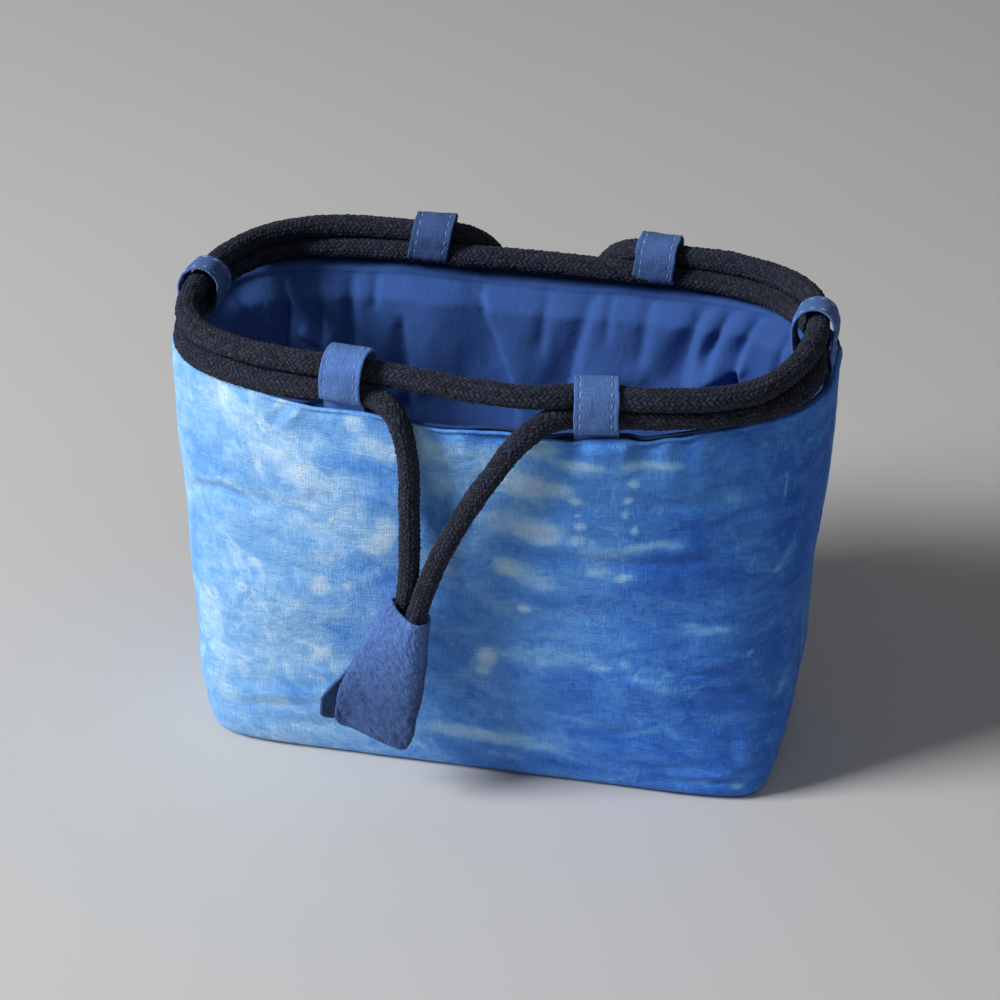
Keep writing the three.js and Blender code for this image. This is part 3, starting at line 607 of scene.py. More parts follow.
# Valleys of the lining on the back wall. Each runs down from the rim: where it starts and ends (along and up the wall),
# how far its middle bows to the right, its half width on the left at both ends and on the right, and how deep it is at
# both ends. Its right side is steep, and catches the light.
LINING_VALLEYS = table(
    "top_at top_z low_at low_z bow left_top left_low right top_in low_in",
    [56.5, 126.5, 51.2, 98, -2.1, 2.5, 10, 1.5, 1.6, 3.6], [50.6, 131, 54.8, 123, 0.3, 1.2, 1.6, 0.9, 1.5, 1.0],
    [67, 130, 59.4, 113, -0.6, 1.7, 3.0, 1.3, 1.9, 1.9], [77, 130, 69.2, 98, -3.4, 1.6, 6, 1.2, 1.6, 3.2],
    [20, 127.5, 12.6, 94, -0.5, 2.6, 10, 1.6, 0.8, 2.8], [25.7, 129, 25.5, 116, 0, 1.2, 1.5, 1.1, 1.0, 0.5],
    [-20, 129.5, -4, 88, 1.4, 1.6, 21, 1.3, 1.5, 4.4], [-16.4, 128, -15, 120, 0, 0.9, 1.0, 0.9, 1.1, 0.8],
    [-41, 113, -39, 84, 0.3, 2.6, 9, 1.4, 1.0, 3.2], [-59.2, 131, -57.3, 105, 0.4, 1.5, 5, 1.3, 1.5, 2.2],
    [-50.7, 131, -50.2, 120, 0, 1.4, 1.6, 1.2, 1.3, 0.9], [-79.6, 130, -82.5, 92, 0, 2, 4, 2, 1.2, 1.8],
    [-70, 129, -68, 108, 0, 1.5, 3, 1.5, 0.9, 1.2], [38, 128, 36, 108, 0.5, 1.8, 3, 2, 0.7, 0.9],
    [88, 129, 84, 104, 0, 1.6, 3, 1.4, 1.2, 1.6], [5, 128, 4, 110, 0.5, 1.6, 3, 1.6, 0.6, 0.8],
)
# Pleats that run across them: from one place to another, the half widths above and below, and how far they stand in.
LINING_PLEATS = table(
    "from_at from_z to_at to_z below above in_",
    [44, 97, 72, 112.5, 2.2, 5, 2.0], [50, 94, 72, 106, 4.5, 3.0, -1.2], [-76, 110.5, -64, 103.5, 1.6, 2.6, 1.5],
    [-47, 86, -33, 96, 4, 2.4, 1.4], [18, 100, 38, 104, 3, 5, 0.9],
)


def valleys(rows, at, z):
    """The depth of valleys that run down a wall: a bell across each, whose middle line, half width on the left and
    depth change evenly on the way down, with soft ends."""
    total = np.zeros(np.broadcast(at, z).shape)
    columns = zip(*rows.values())
    for top_at, top_z, low_at, low_z, bow, left_top, left_low, right, top_in, low_in in columns:
        t = (top_z - z) / (top_z - low_z)
        held = np.clip(t, 0, 1)
        across = at - (top_at + (low_at - top_at) * held + 4 * bow * held * (1 - held))
        left = left_top + (left_low - left_top) * held
        shape = np.exp(-np.abs(across / np.where(across < 0, left, right)) ** 1.7)
        total += (top_in + (low_in - top_in) * held) * shape * fade((t + 0.16) * 4.5) * fade((1.4 - t) * 1.8)
    return total


def line_creases(rows, at, z):
    """The relief of creases that run from one place to another: a bell across with its own half width on each side,
    which fades out over the last sixth at both ends."""
    total = np.zeros(np.broadcast(at, z).shape)
    for x0, z0, x1, z1, right, left, stand in zip(*rows.values()):
        length = math.hypot(x1 - x0, z1 - z0)
        dx, dz = (x1 - x0) / length, (z1 - z0) / length
        along = ((at - x0) * dx + (z - z0) * dz) / length
        across = (at - x0) * dz - (z - z0) * dx
        wide = np.where(across > 0, right, left)
        total += stand * bell(across, wide) * fade((along + 0.1) * 5) * fade((1.1 - along) * 5)
    return total


def fold_depth(degrees, z):
    """How far the lining stands in at a place: each fold is a ridge that fades out at its two ends."""
    total = np.zeros(np.broadcast(degrees, z).shape)
    for at, wide, deep, low, high, drift in zip(*FOLDS.values()):
        along = np.clip((z - low) / (high - low), 0, 1)
        middle = at + drift * (1 - along)
        rise = np.sin(np.pi * along**1.4) ** 0.6
        total += deep * np.where((along > 0) & (along < 1), rise, 0) * bell(degrees_from(degrees, middle), wide)
    return total


LINING_FRONT_COLUMNS, LINING_BACK_COLUMNS = 160, 320
LOOP_ROOM = 2.9  # how far the lining's bead stands in behind a loop
LINING_EDGE = 126.8  # height of the line where the rolled edge is sewn down


def loop_distance(degrees, at):
    """Roughly how many millimetres of rim lie between directions and a loop."""
    return np.abs(degrees_from(degrees, at)) * np.where(np.abs(np.sin(np.radians(at))) > 0.5, 1.65, 0.95)


def build_lining(sizes, material):
    """The lining as one closed skin: its hidden face up the wall, its rolled edge over the shell's top, its inner
    face down the wall in loose folds, and its floor."""
    shell_thick = sizes.shell_thickness / MM
    thick = sizes.lining_thickness / MM
    degrees = directions(LINING_FRONT_COLUMNS, LINING_BACK_COLUMNS)
    near = shell_thick + PLY_GAP
    far = near + thick
    # The ring's section: up the hidden face, out over the shell's slanted top, round the bead that shows above the
    # shell's edge, back down a slope, and down the inner face.
    bead = np.linspace(0, np.pi, 8)
    radius = ROLL_THICK / 2
    under_z = np.concatenate([np.linspace(8, 125, 20), [LINING_EDGE, 127.6, 128.7, 129.95]])
    under_in = np.concatenate([np.full(21, near), [near - 0.2, 2.4, 1.3]])
    slope_z = np.array([130.97, 130.75, 130.2, 129.3, 128.3, 127.5])
    slope_in = np.array([1.25, 1.6, 2.2, 3.0, 3.9, far - 0.25])
    inner_z = np.concatenate([np.linspace(127.0, 62, 92), np.linspace(60, 8, 26)])
    z = np.concatenate([under_z, RIM_HEIGHT - radius - radius * np.cos(bead), slope_z, inner_z])
    inset = np.concatenate(
        [under_in, ROLL_REACH + radius - radius * np.sin(bead), slope_in, np.full(len(inner_z), far)]
    )
    inset = np.repeat(inset[:, None], len(degrees), 1)
    # Behind a loop the bead stands in, so that the loop's legs come out in front of it.
    beyond = len(under_z) + len(bead) // 2
    reach = LOOP_ROOM * np.clip(sum(fade((13.5 - loop_distance(degrees, row)) / 6) for row in LOOPS["at"]), 0, 1)
    room = np.where(np.arange(len(z)) < beyond, near, far)[:, None]
    inset += reach * np.clip((room - inset) / (room - ROLL_REACH), 0, 1)
    place = wall(degrees[None, :], z[:, None], near)
    front, back, is_front, at = along_panels(place, degrees, LINING_FRONT_COLUMNS, LINING_BACK_COLUMNS)
    height = np.broadcast_to(z[:, None], at.shape)
    turn = (degrees[None, :] - 180) / 360
    loose = fade((127.4 - height) / 8) * fade((height - 5) / 14)
    folds = fold_depth(degrees[None, :], height)
    high = fade((height - 60) / 20)
    pinched = 1.3 * line_creases(LINING_PLEATS, at, height) - 1.75 * valleys(LINING_VALLEYS, at, height)
    puff = 4.6 * fade((127.2 - height) / 6.5)
    stand = np.where(is_front, folds * 0.8 + 1.1 * loose, folds * (0.8 - 0.4 * high) + loose + high * (puff + pinched))
    stand += loose * (0.5 * round_cloud(turn, height / 34, 21, 34) + 0.32 * round_cloud(turn, height / 15, 22, 80))
    stand += loose * 0.14 * round_cloud(turn, height / 6, 23, 170)
    stand = 0.5 * (stand + np.sqrt(stand**2 + 0.4)) - 0.3 * (1 - loose)
    # The edge is sewn down a little below the rim.
    stand -= 0.35 * bell(height - LINING_EDGE, 0.7)
    inset += np.where(np.arange(len(z))[:, None] >= len(z) - len(inner_z), stand, 0)
    points = wall(degrees[None, :], z[:, None], inset)
    wobble = 0.16 * round_cloud(turn, 0 * turn, 25, 120) + 0.12 * round_cloud(turn, 0 * turn, 26, 48)
    points[..., 2] += wobble * fade((height - 126) / 3)

    under = drawn_in(points[0], [7.0, 2.6], [near + 0.05, near + 1.25])
    floor_in = np.array([2.4, 5.2, 9.5, 15, 21, 27])
    floor = drawn_in(points[-1], floor_in, far + np.array([1.6, 0.3, 0, 0, 0, 0]))
    rumples = cloud(floor[..., 0] / 13 + 20, floor[..., 1] / 11 + 20, 27)
    floor[..., 2] += 0.7 * (1 + rumples) * fade(floor_in / 9)[:, None]
    rings = np.concatenate([under, points, floor])
    uv = skin_uv(rings, len(under), front, back, degrees, z, inset[:, 0])
    made, faces, corner_uv = closed_skin(rings, uv)
    # Painted shade darkens its rolled edge, carried as the value dyed.
    dyed = 1 - 0.5 * fade((z - 129.0) / 0.8)
    dyed = np.concatenate([np.repeat(dyed[:1], len(under)), dyed, np.repeat(dyed[-1:], len(floor))])
    values = {"dyed": np.concatenate([np.repeat(dyed, len(degrees) - 1), [1.0, 1.0]])}
    lining = make_piece("loose_lining", made, faces, material, corner_uv, values, replaces=["lining"])


# ---------------------------------------------------------------------------------------------------------------------
# Strap loops
# ---------------------------------------------------------------------------------------------------------------------

# The strap loops: direction of the place on the rim, how far a loop bulges out past the shell's face, how far its
# top leans along the rim for each millimetre of height, how much lower its one edge hangs than the other, and how far
# its cloth is darkened (the column dyed), which is painted shade, deepest on the loops at the back.
LOOPS = table(
    "at outset lean tip dyed",
    [249.5, 2.6, 0.09, 0, 1.0], [291.7, 2.6, 0, 0, 0.9], [3.5, -1.4, 0.24, 0.16, 0.85], [68.5, 2.6, -0.08, 0, 0.72],
    [108.6, 2.6, -0.16, 0, 0.55], [178, -1.4, -0.1, -0.14, 0.75],
)
LOOP_CLOTH = 60  # how far apart two loops lie along the UV map
STITCH_SUNK = 0.2  # how deep a row of stitches lies in the strap's face
LOOP_NAMES = ["front_left", "front_right", "right_end", "back_right", "back_left", "left_end"]
STRAP_ARCH = 5.8  # inner radius of a loop's arch
STRAP_SHOULDER = 10.8  # height of the arch's centre above the rim
SEAM_DEPTH = 4.2  # how far a loop's legs reach down into the rim seam
SEAM_IN = 2.45  # where they lie in it, counted in from the shell's face
STITCH_PERIOD = 3.3
STITCH_LONG = 2.6
STITCH_THICK = 0.3


def smooth_path(points, count):
    """Evenly spaced points on the centripetal Catmull-Rom curve through a route's points: in each span a cubic whose
    end slopes come from the square roots of the distances to the neighbouring points."""
    p = np.asarray(points, float)
    p = np.concatenate([[2 * p[0] - p[1]], p, [2 * p[-1] - p[-2]]])
    gap = np.sqrt(np.linalg.norm(np.diff(p, axis=0), axis=1))[:, None]
    a, b, c, d = p[:-3], p[1:-2], p[2:-1], p[3:]
    ab, bc, cd = gap[:-2], gap[1:-1], gap[2:]
    leave = ((b - a) / ab - (c - a) / (ab + bc) + (c - b) / bc) * bc
    reach = ((c - b) / bc - (d - b) / (bc + cd) + (d - c) / cd) * bc
    t = np.linspace(0, 1, 60, endpoint=False)[None, :, None]
    spans = (
        b[:, None] * (2 * t**3 - 3 * t**2 + 1)
        + leave[:, None] * (t**3 - 2 * t**2 + t)
        + c[:, None] * (3 * t**2 - 2 * t**3)
        + reach[:, None] * (t**3 - t**2)
    )
    dense = np.concatenate([spans.reshape(-1, p.shape[1]), p[-2:-1]])
    far = distances(dense)
    return sampled(np.linspace(0, far[-1], count), far, dense), far[-1]


def loop_route(outset, thick):
    """A loop's middle line, in from the shell's face and up from the rim: out of the seam, up, over the arch and back
    down into the same seam."""
    radius = STRAP_ARCH + thick / 2
    middle = STRAP_ARCH + thick - outset
    outer, inner = middle - radius, middle + radius
    arch = np.radians(np.linspace(170, 10, 7))
    return np.concatenate(
        [
            [[SEAM_IN - 0.3, -SEAM_DEPTH], [SEAM_IN - 0.3, -1.2], [SEAM_IN - 0.7, 0.6]],
            [[(outer + SEAM_IN) / 2 - 0.4, 2.1], [outer + 0.5, 4.4], [outer, 7.4]],
            np.stack([middle + radius * np.cos(arch), STRAP_SHOULDER + radius * np.sin(arch)], -1),
            [[inner, 8.4], [inner - 0.9, 4.6], [inner - 3.4, 2.2], [SEAM_IN + 2.6, 1.4]],
            [[SEAM_IN + 0.8, 0.7], [SEAM_IN + 0.3, -1.2], [SEAM_IN + 0.3, -SEAM_DEPTH]],
        ]
    )


def loop_place(row, local):
    """Points (in from the face, up, along) of a loop, leaned and tipped, and set on the rim."""
    at, _, lean, tip, _ = row
    inward, up, along = local[..., 0], local[..., 1], local[..., 2]
    high = np.maximum(up - 1, 0)
    up = up - tip * along * np.clip((high - 1) / 8, 0, 1)
    along = along + lean * high
    face = wall(at, RIM_HEIGHT, 0)
    back = wall(at, RIM_HEIGHT, 1) - face
    back[2] = 0
    side = np.array([back[1], -back[0], 0])
    return face + inward[..., None] * back + up[..., None] * np.array([0, 0, 1.0]) + along[..., None] * side


def stitch_row(line, normal, thick, long, period):
    """A row of stitches along a line of points: each is a small capsule with its ends sunk in the cloth, its middle
    raised as an arch. Returns points and faces."""
    far = distances(line)
    count = int((far[-1] - long) / period)
    rings, sides = 7, 8
    t = np.linspace(0, 1, rings)
    s = (np.arange(count)[:, None] + 0.5) * period + (t - 0.5) * long
    centre, up = sampled(s, far, line), unit(sampled(s, far, normal))
    side = np.cross(unit(np.gradient(centre, axis=1)), up)
    centre = centre + up * (thick * (1.3 * np.sin(np.pi * t) ** 0.7 - 0.75))[None, :, None]
    radius = thick / 2 * (0.35 + 0.65 * np.sin(np.pi * t) ** 0.5)
    turn = 2 * np.pi * np.arange(sides) / sides
    ring = (
        centre[:, :, None]
        + side[:, :, None] * (np.cos(turn) * radius[:, None])[None, :, :, None]
        + up[:, :, None] * (np.sin(turn) * radius[:, None])[None, :, :, None]
    )
    per = rings * sides
    quads = grid_faces(rings, sides, True).reshape(-1, 4)
    middle_caps = np.array([[0, 3, 2, 1], [0, 5, 4, 3], [0, 7, 6, 5]])
    end_caps = per - sides + middle_caps[:, ::-1]
    quads = np.concatenate([quads[:, ::-1], middle_caps[:, ::-1], end_caps[:, ::-1]])
    faces = (quads[None] + per * np.arange(count)[:, None, None]).reshape(-1, 4)
    return ring.reshape(-1, 3), faces


def build_loops(sizes, strap, thread):
    """Six loops of folded, topstitched strap, and their stitches."""
    width = sizes.strap_width / MM
    thick = sizes.strap_thickness / MM
    inset = sizes.stitch_inset / MM
    stitch_points, stitch_faces, used = [], [], 0
    for index, (name, row) in enumerate(zip(LOOP_NAMES, zip(*LOOPS.values()))):
        route, length = smooth_path(loop_route(row[1], thick), 400)
        down = edged(104, length, thick)
        across = edged(36, width, thick)
        line = sampled(down, np.linspace(0, 1, len(route)), route)
        ahead = unit(np.gradient(line, axis=0))
        out = np.stack([-ahead[:, 1], ahead[:, 0]], -1)
        x = (across - 0.5) * width
        open_leg = fade((line[:, 1] - 0.5) / 3)
        far = down[:, None] * length
        # Crown and edge waves of the strap, and the dent of each row of stitches.
        edge = width / 2 - np.abs(x)[None, :]
        relief = 0.26 * cloud(far / 7 + 9 * index, x[None, :] / 5 + 30, 31)
        relief = relief + 0.12 * cloud(far / 2.2, x[None, :] / 2.2 + 30, 32)
        relief = relief + 0.16 * cloud(far / 3, x[None, :] / 9 + 30 + 3 * index, 36)
        relief = relief * open_leg[:, None]
        wave = 0.28 * cloud(far / 4.5 + 5 * index, 0 * far + 0.3, 33)
        wave = wave + 0.12 * cloud(far / 1.6 + 5 * index, 0 * far + 7.3, 35)
        middle_x = x[None, :] + wave * (x[None, :] / width * 2) ** 3 * np.where(x[None, :] > 0, 1, -0.8)
        local = np.empty((len(down), len(across), 3))
        local[..., :2] = line[:, None] + out[:, None] * relief[..., None]
        local[..., 2] = middle_x
        squeeze = 0.42 + 0.58 * open_leg
        dent = bell(edge - inset, 0.45) * (0.12 + 0.08 * np.sin(2 * np.pi * far / STITCH_PERIOD))
        crinkle = 0.05 * cloud(far / 0.9 + 3 * index, x[None, :] / 0.9 + 30, 34)
        middle = loop_place(row, local)
        lift = crinkle - dent * open_leg[:, None] - thick / 2 * (1 - squeeze[:, None])
        points, faces, place = cloth_skin(middle, thick, lift=lift)
        uv = np.stack([across[place[:, 1]] * width, down[place[:, 0]] * length + LOOP_CLOTH * index], -1)
        # The loop's value dyed is the painted shade from its row of the table.
        loop = make_piece(
            f"strap_loop_{name}",
            points,
            faces,
            strap,
            uv[faces],
            {"dyed": np.full(len(points), row[-1])},
            replaces=[f"loop_{name}"],
        )
        shown = slice(int(np.argmax(line[:, 1] > 1.2)), int(len(down) - np.argmax(line[::-1, 1] > 2.4)))
        normal = grid_normals(middle)
        for where in (inset, width - 1.25 * inset):
            column = int(np.argmin(np.abs(across * width - where)))
            for side in (1, -1):
                surface = middle[shown, column] + side * normal[shown, column] * (thick / 2 - STITCH_SUNK)
                points, faces = stitch_row(
                    surface, side * normal[shown, column], STITCH_THICK, STITCH_LONG, STITCH_PERIOD
                )
                stitch_points.append(points)
                stitch_faces.append(faces + used)
                used += len(points)
    make_piece(
        "loop_topstitching", np.concatenate(stitch_points), np.concatenate(stitch_faces), thread
    )


# ---------------------------------------------------------------------------------------------------------------------
# Drawcords
# ---------------------------------------------------------------------------------------------------------------------

# The drawcords, each from one end in its tab round the rim to the other end.
FRONT_CORD = [
    (-22, -52.5, 59.4), (-20.5, -52.4, 64.6), (-18.9, -52.5, 70.4), (-17.4, -53.4, 79), (-16.5, -54.4, 92),
    (-16.2, -55, 107), (-16, -55.6, 118), (-16.8, -56, 126.5), (-18.8, -55.2, 133), (-22.4, -52.4, 136.2),
    (-28.8, -48.4, 137), (-37, -46.4, 136.7), (-46.5, -45.2, 136), (-61, -42.4, 134.9), (-70.5, -39.2, 134.8),
    (-81, -34.5, 134.8), (-90.2, -26.4, 134.9), (-94.6, -14, 135.8), (-95.1, 0, 136.85), (-94, 14, 136.75),
    (-90, 28, 136.9), (-79.5, 41, 136.9), (-57.5, 47, 136.7), (-35, 47.4, 137.2), (-24, 46.9, 137.3),
    (-12, 47.4, 137.4), (14, 47.2, 137.4), (26, 46, 137.7), (36, 46.3, 137.5), (48, 46.9, 136.9), (62, 45, 136.6),
    (75.6, 38.8, 136.8), (83.6, 29, 137.7), (90, 16, 140.1), (92.9, 7, 140.2), (93.1, -2, 140.3),
    (93.7, -12.4, 138.1), (87.6, -26.4, 136.6), (74.4, -36.6, 136.5), (60.4, -42, 136.7), (44, -45.4, 136.6),
    (37, -46.1, 136.4), (30.6, -46.9, 136.3), (23.5, -51, 135.9), (18.6, -55, 133.2), (14.2, -56.6, 128.6),
    (9.8, -56.8, 121.6), (4.8, -56.8, 113.6), (-2.6, -56.8, 100), (-7.8, -57, 88.6), (-11.8, -57.2, 77.6),
    (-14, -57.1, 70), (-15.6, -57, 64), (-16.9, -57, 58.9),
]
BACK_CORD = [
    (6.2, 54.3, 61), (4.8, 54.3, 67.6), (3, 54.6, 75), (0, 55.6, 88), (-4.6, 56.8, 104), (-9.6, 58, 119),
    (-13.2, 58.8, 129), (-16.4, 57.6, 135), (-20.8, 53.8, 140.2), (-27, 49.8, 143.4), (-34, 49.2, 143.5),
    (-47, 49.2, 143.35), (-60, 48.2, 143.4), (-72.5, 44.3, 143.5), (-84, 35.4, 143.5), (-91.5, 21, 143.6),
    (-94, 7, 143.45), (-94.2, -6.8, 143.5), (-92.6, -18.6, 142.4), (-84.2, -30.2, 142), (-70, -38.4, 142.5),
    (-54, -42.8, 143), (-37, -44.8, 143.2), (-22, -46.2, 143), (-2, -49, 142.6), (15.6, -50.2, 142.6),
    (24, -49, 142.7), (30.6, -46.9, 143), (37.4, -46.3, 143), (44, -46, 143.1), (52, -45.6, 143.2),
    (68, -41.6, 143.2), (81, -33.6, 143.4), (90, -19, 145.1), (93.1, -4.6, 146.9), (92.4, 7, 147.3),
    (88.4, 24, 145.8), (79.6, 37.2, 144), (63, 46, 143.4), (47, 48, 143.4), (38, 48.3, 143.8), (31.6, 50, 143.3),
    (26.4, 54, 140.2), (22, 57.6, 135.6), (18.6, 59, 129.4), (15.8, 59.2, 118), (13.4, 59.2, 104), (10.8, 59, 89),
    (8.4, 58.7, 75), (8.9, 58.7, 68), (10.1, 58.7, 62),
]
BRAID_STRANDS = 16  # strands that run each way round the cord
STRAND_STEPS = 4  # columns and rows of the mesh in a strand's width
BRAID_RELIEF = 0.62
# Where a cord's ends hang in their tab, how far they taper and how much slimmer they are.
HANGING_LENGTH, HANGING_TAPER, HANGING_SLIMMER = 60, 30, 0.38
RIM_HALF = (100, 50)  # the rim's rough half sizes


def braid(a, b):
    """The relief of a braid, from 0 to 1, and which strand shows. Strands of one kind fill whole numbers of a, the
    others whole numbers of b. Each passes over two and under two, and its section and its run along are round."""
    k, m = np.floor(a), np.floor(b)
    turn = (k + m) % 4
    over = turn < 2
    across = np.where(over, a - k, b - m) - 0.5
    along = np.where(over, b - m + turn, a - k + turn - 2) - 1
    relief = np.sqrt(np.clip(1 - (1.9 * across) ** 2, 0, 1)) * (1 - 0.5 * along**2)
    return relief, np.where(over, k, m + 0.5)


def build_cord(name, node, route, sizes, material):
    """A drawcord: a tube round the smooth curve through its route, its surface raised and sunk by the braid, and
    slimmer in the two ends that hang."""
    pitch = sizes.braid_pitch / MM
    length = smooth_path(route, 2)[1]
    rows = int(length / pitch * STRAND_STEPS)
    line, _ = smooth_path(route, rows)
    ahead = unit(np.gradient(line, axis=0))
    # Away from the bag's middle, square to the cord, so that the tube never twists.
    away = np.stack([line[:, 0] / RIM_HALF[0] ** 2, line[:, 1] / RIM_HALF[1] ** 2, 0 * line[:, 0]], -1)
    away = unit(away - ahead * (away * ahead).sum(axis=1, keepdims=True))
    side = np.cross(ahead, away)
    around = BRAID_STRANDS * STRAND_STEPS
    turn = np.arange(around) / STRAND_STEPS
    far = np.arange(rows) / STRAND_STEPS
    hanging = np.minimum(far, far[-1] - far) * pitch
    radius = sizes.cord_diameter / MM / 2 - HANGING_SLIMMER * (1 - fade((hanging - HANGING_LENGTH) / HANGING_TAPER))
    radius = radius + 0.12 * cloud(far / 5, 0 * far + 0.5, 41) + 0.07 * cloud(far / 2, 0 * far + 0.5, 42)
    # The strands wander, so that no two crossings are alike.
    cells = int(BRAID_STRANDS / 1.6)
    stray_turn = 0.32 * cloud(turn[None, :] / 1.6, far[:, None] / 1.7, 46, cells)
    stray_far = 0.42 * cloud(turn[None, :] / 1.6, far[:, None] / 1.9, 47, cells)
    wound, run = turn[None, :] + stray_turn + 0.125, far[:, None] + stray_far
    relief, strand = braid(wound + run, wound - run)
    loose = 0.1 * cloud(far[:, None] / 0.5, turn[None, :] / 0.4, 44)
    loose = loose + 0.16 * cloud(strand * 7.31, far[:, None] / 2.2, 45)
    bump = radius[:, None] + BRAID_RELIEF * (relief - 0.72) + loose
    phase = 2 * np.pi * turn / BRAID_STRANDS
    ring = away[:, None] * np.cos(phase)[None, :, None] + side[:, None] * np.sin(phase)[None, :, None]
    points = line[:, None] + ring * bump[..., None]
    closed = np.concatenate([points, points[:, :1]], axis=1)
    wound = np.concatenate([wound, wound[:, :1] + BRAID_STRANDS], axis=1)
    strands = np.stack([wound, np.concatenate([run, run[:, :1]], axis=1)], -1)
    made, faces, uv = closed_skin(closed, corner_values(strands) / MM)
    tint = np.sin(strand * 12.9898 + np.floor(far[:, None] / 4) * 0.7) * 43758.5453
    values = {"yarn": np.concatenate([(tint - np.floor(tint)).ravel(), [0.5, 0.5]])}
    cord = make_piece(name, made, faces, material, uv, values, replaces=[node])


# ---------------------------------------------------------------------------------------------------------------------
# End tabs
# ---------------------------------------------------------------------------------------------------------------------

# Sections of an end tab, from its mouth at the top down to its hem: how far down, the left and right edges, how far
# the ridge stands right of the middle, depths in front and behind, squareness, how far the front edge lifts off the
# back ply, and how far the back ply reaches past it and curls forwards.
TAB_ROWS = table(
    "down left right ridge front back square lift flap curl",
    [-0.6, -5.6, 6.6, 2.3, 6.2, 5.8, 1.25, 0, 0, 0], [3, -7.4, 7.1, 2.8, 6.2, 5.9, 1.35, 0, 0, 0],
    [10, -8.8, 8.3, 3.6, 6.1, 6.0, 1.6, 0, 0, 0], [20, -10.3, 10.4, 4.9, 5.6, 4.9, 1.8, 0, 0, 0],
    [27, -11.5, 11.2, 6.3, 5.3, 4.2, 1.8, 0.1, 0, 0], [31, -12, 11.5, 6.9, 5.2, 4.0, 1.8, 0.5, 0.9, 0.3],
    [35, -12.2, 11.7, 7.4, 5.1, 3.9, 1.8, 1.9, 2.8, 1.2], [40, -11.8, 11.7, 8.0, 5, 3.8, 1.8, 2.7, 4.7, 2.6],
    [46, -10.6, 11.1, 8.2, 4.8, 3.8, 1.8, 3.0, 4.4, 3.0],
)
# Where the tabs hang, and whether room is made for a cord whose left end, not its right one, lies in front.
TABS = table("x y z swing turn room", [-17.3, -54.6, 69, 16, 0, 0], [6.2, 56.6, 71, 13, 180, 1])
TAB_NAMES = ["front", "back"]
TAB_TOP, TAB_HEM = -0.8, 45.6
TAB_ROUND = 52  # length of its cloth round the cord ends
TAB_CLOTH = 70  # how far apart the two tabs lie along the UV map


def tab_section(across, down, thick, room):
    """A point of an end tab's cloth: across runs from 0 at the front edge, over the front and round the back, to 1 at
    the edge of the back ply. The section is |x|^n + |y|^n = 1 between the edges; its front is pushed right towards the
    ridge, and the edge of the back ply reaches out to the left and curls forwards."""
    value = between(TAB_ROWS, "down", down)
    mouth = room * fade((28 - down) / 14)
    value["square"] = value["square"] + 0.75 * mouth
    value["ridge"] = value["ridge"] * (1 - 1.35 * mouth)
    front = across < 0.5
    turn = np.pi * (1 + 2 * across)
    c, s = np.cos(turn), np.sin(turn)
    n = np.where(front & (c < 0), value["square"], 2.15)
    scale = (np.abs(c) ** n + np.abs(s) ** n) ** (-1 / n)
    middle = (value["left"] + value["right"]) / 2
    half = (value["right"] - value["left"]) / 2
    near_mouth = fade((16 - down) / 14)
    ridge = np.where(front, value["ridge"], 2.2 * (2 * room - 1) * near_mouth) * s * s
    edge = bell(np.where(front, across, 1 - across), 0.07)
    reach = fade((across - 0.76) / 0.22)
    x = middle + half * c * scale + ridge - value["flap"] * reach
    y = s * scale * np.where(front, value["front"], value["back"])
    apart = (thick / 2 + 0.03 + 0.12 * fade((down - 26) / 6)) * edge
    y = np.where(front, y - apart - value["lift"] * edge, y + apart - value["curl"] * fade((across - 0.86) / 0.14))
    return x, y


def spun(points, first, second, angle):
    """Points turned by an angle from one axis towards a second one."""
    c, s = math.cos(angle), math.sin(angle)
    made = np.array(points)
    made[..., first] = points[..., first] * c - points[..., second] * s
    made[..., second] = points[..., first] * s + points[..., second] * c
    return made


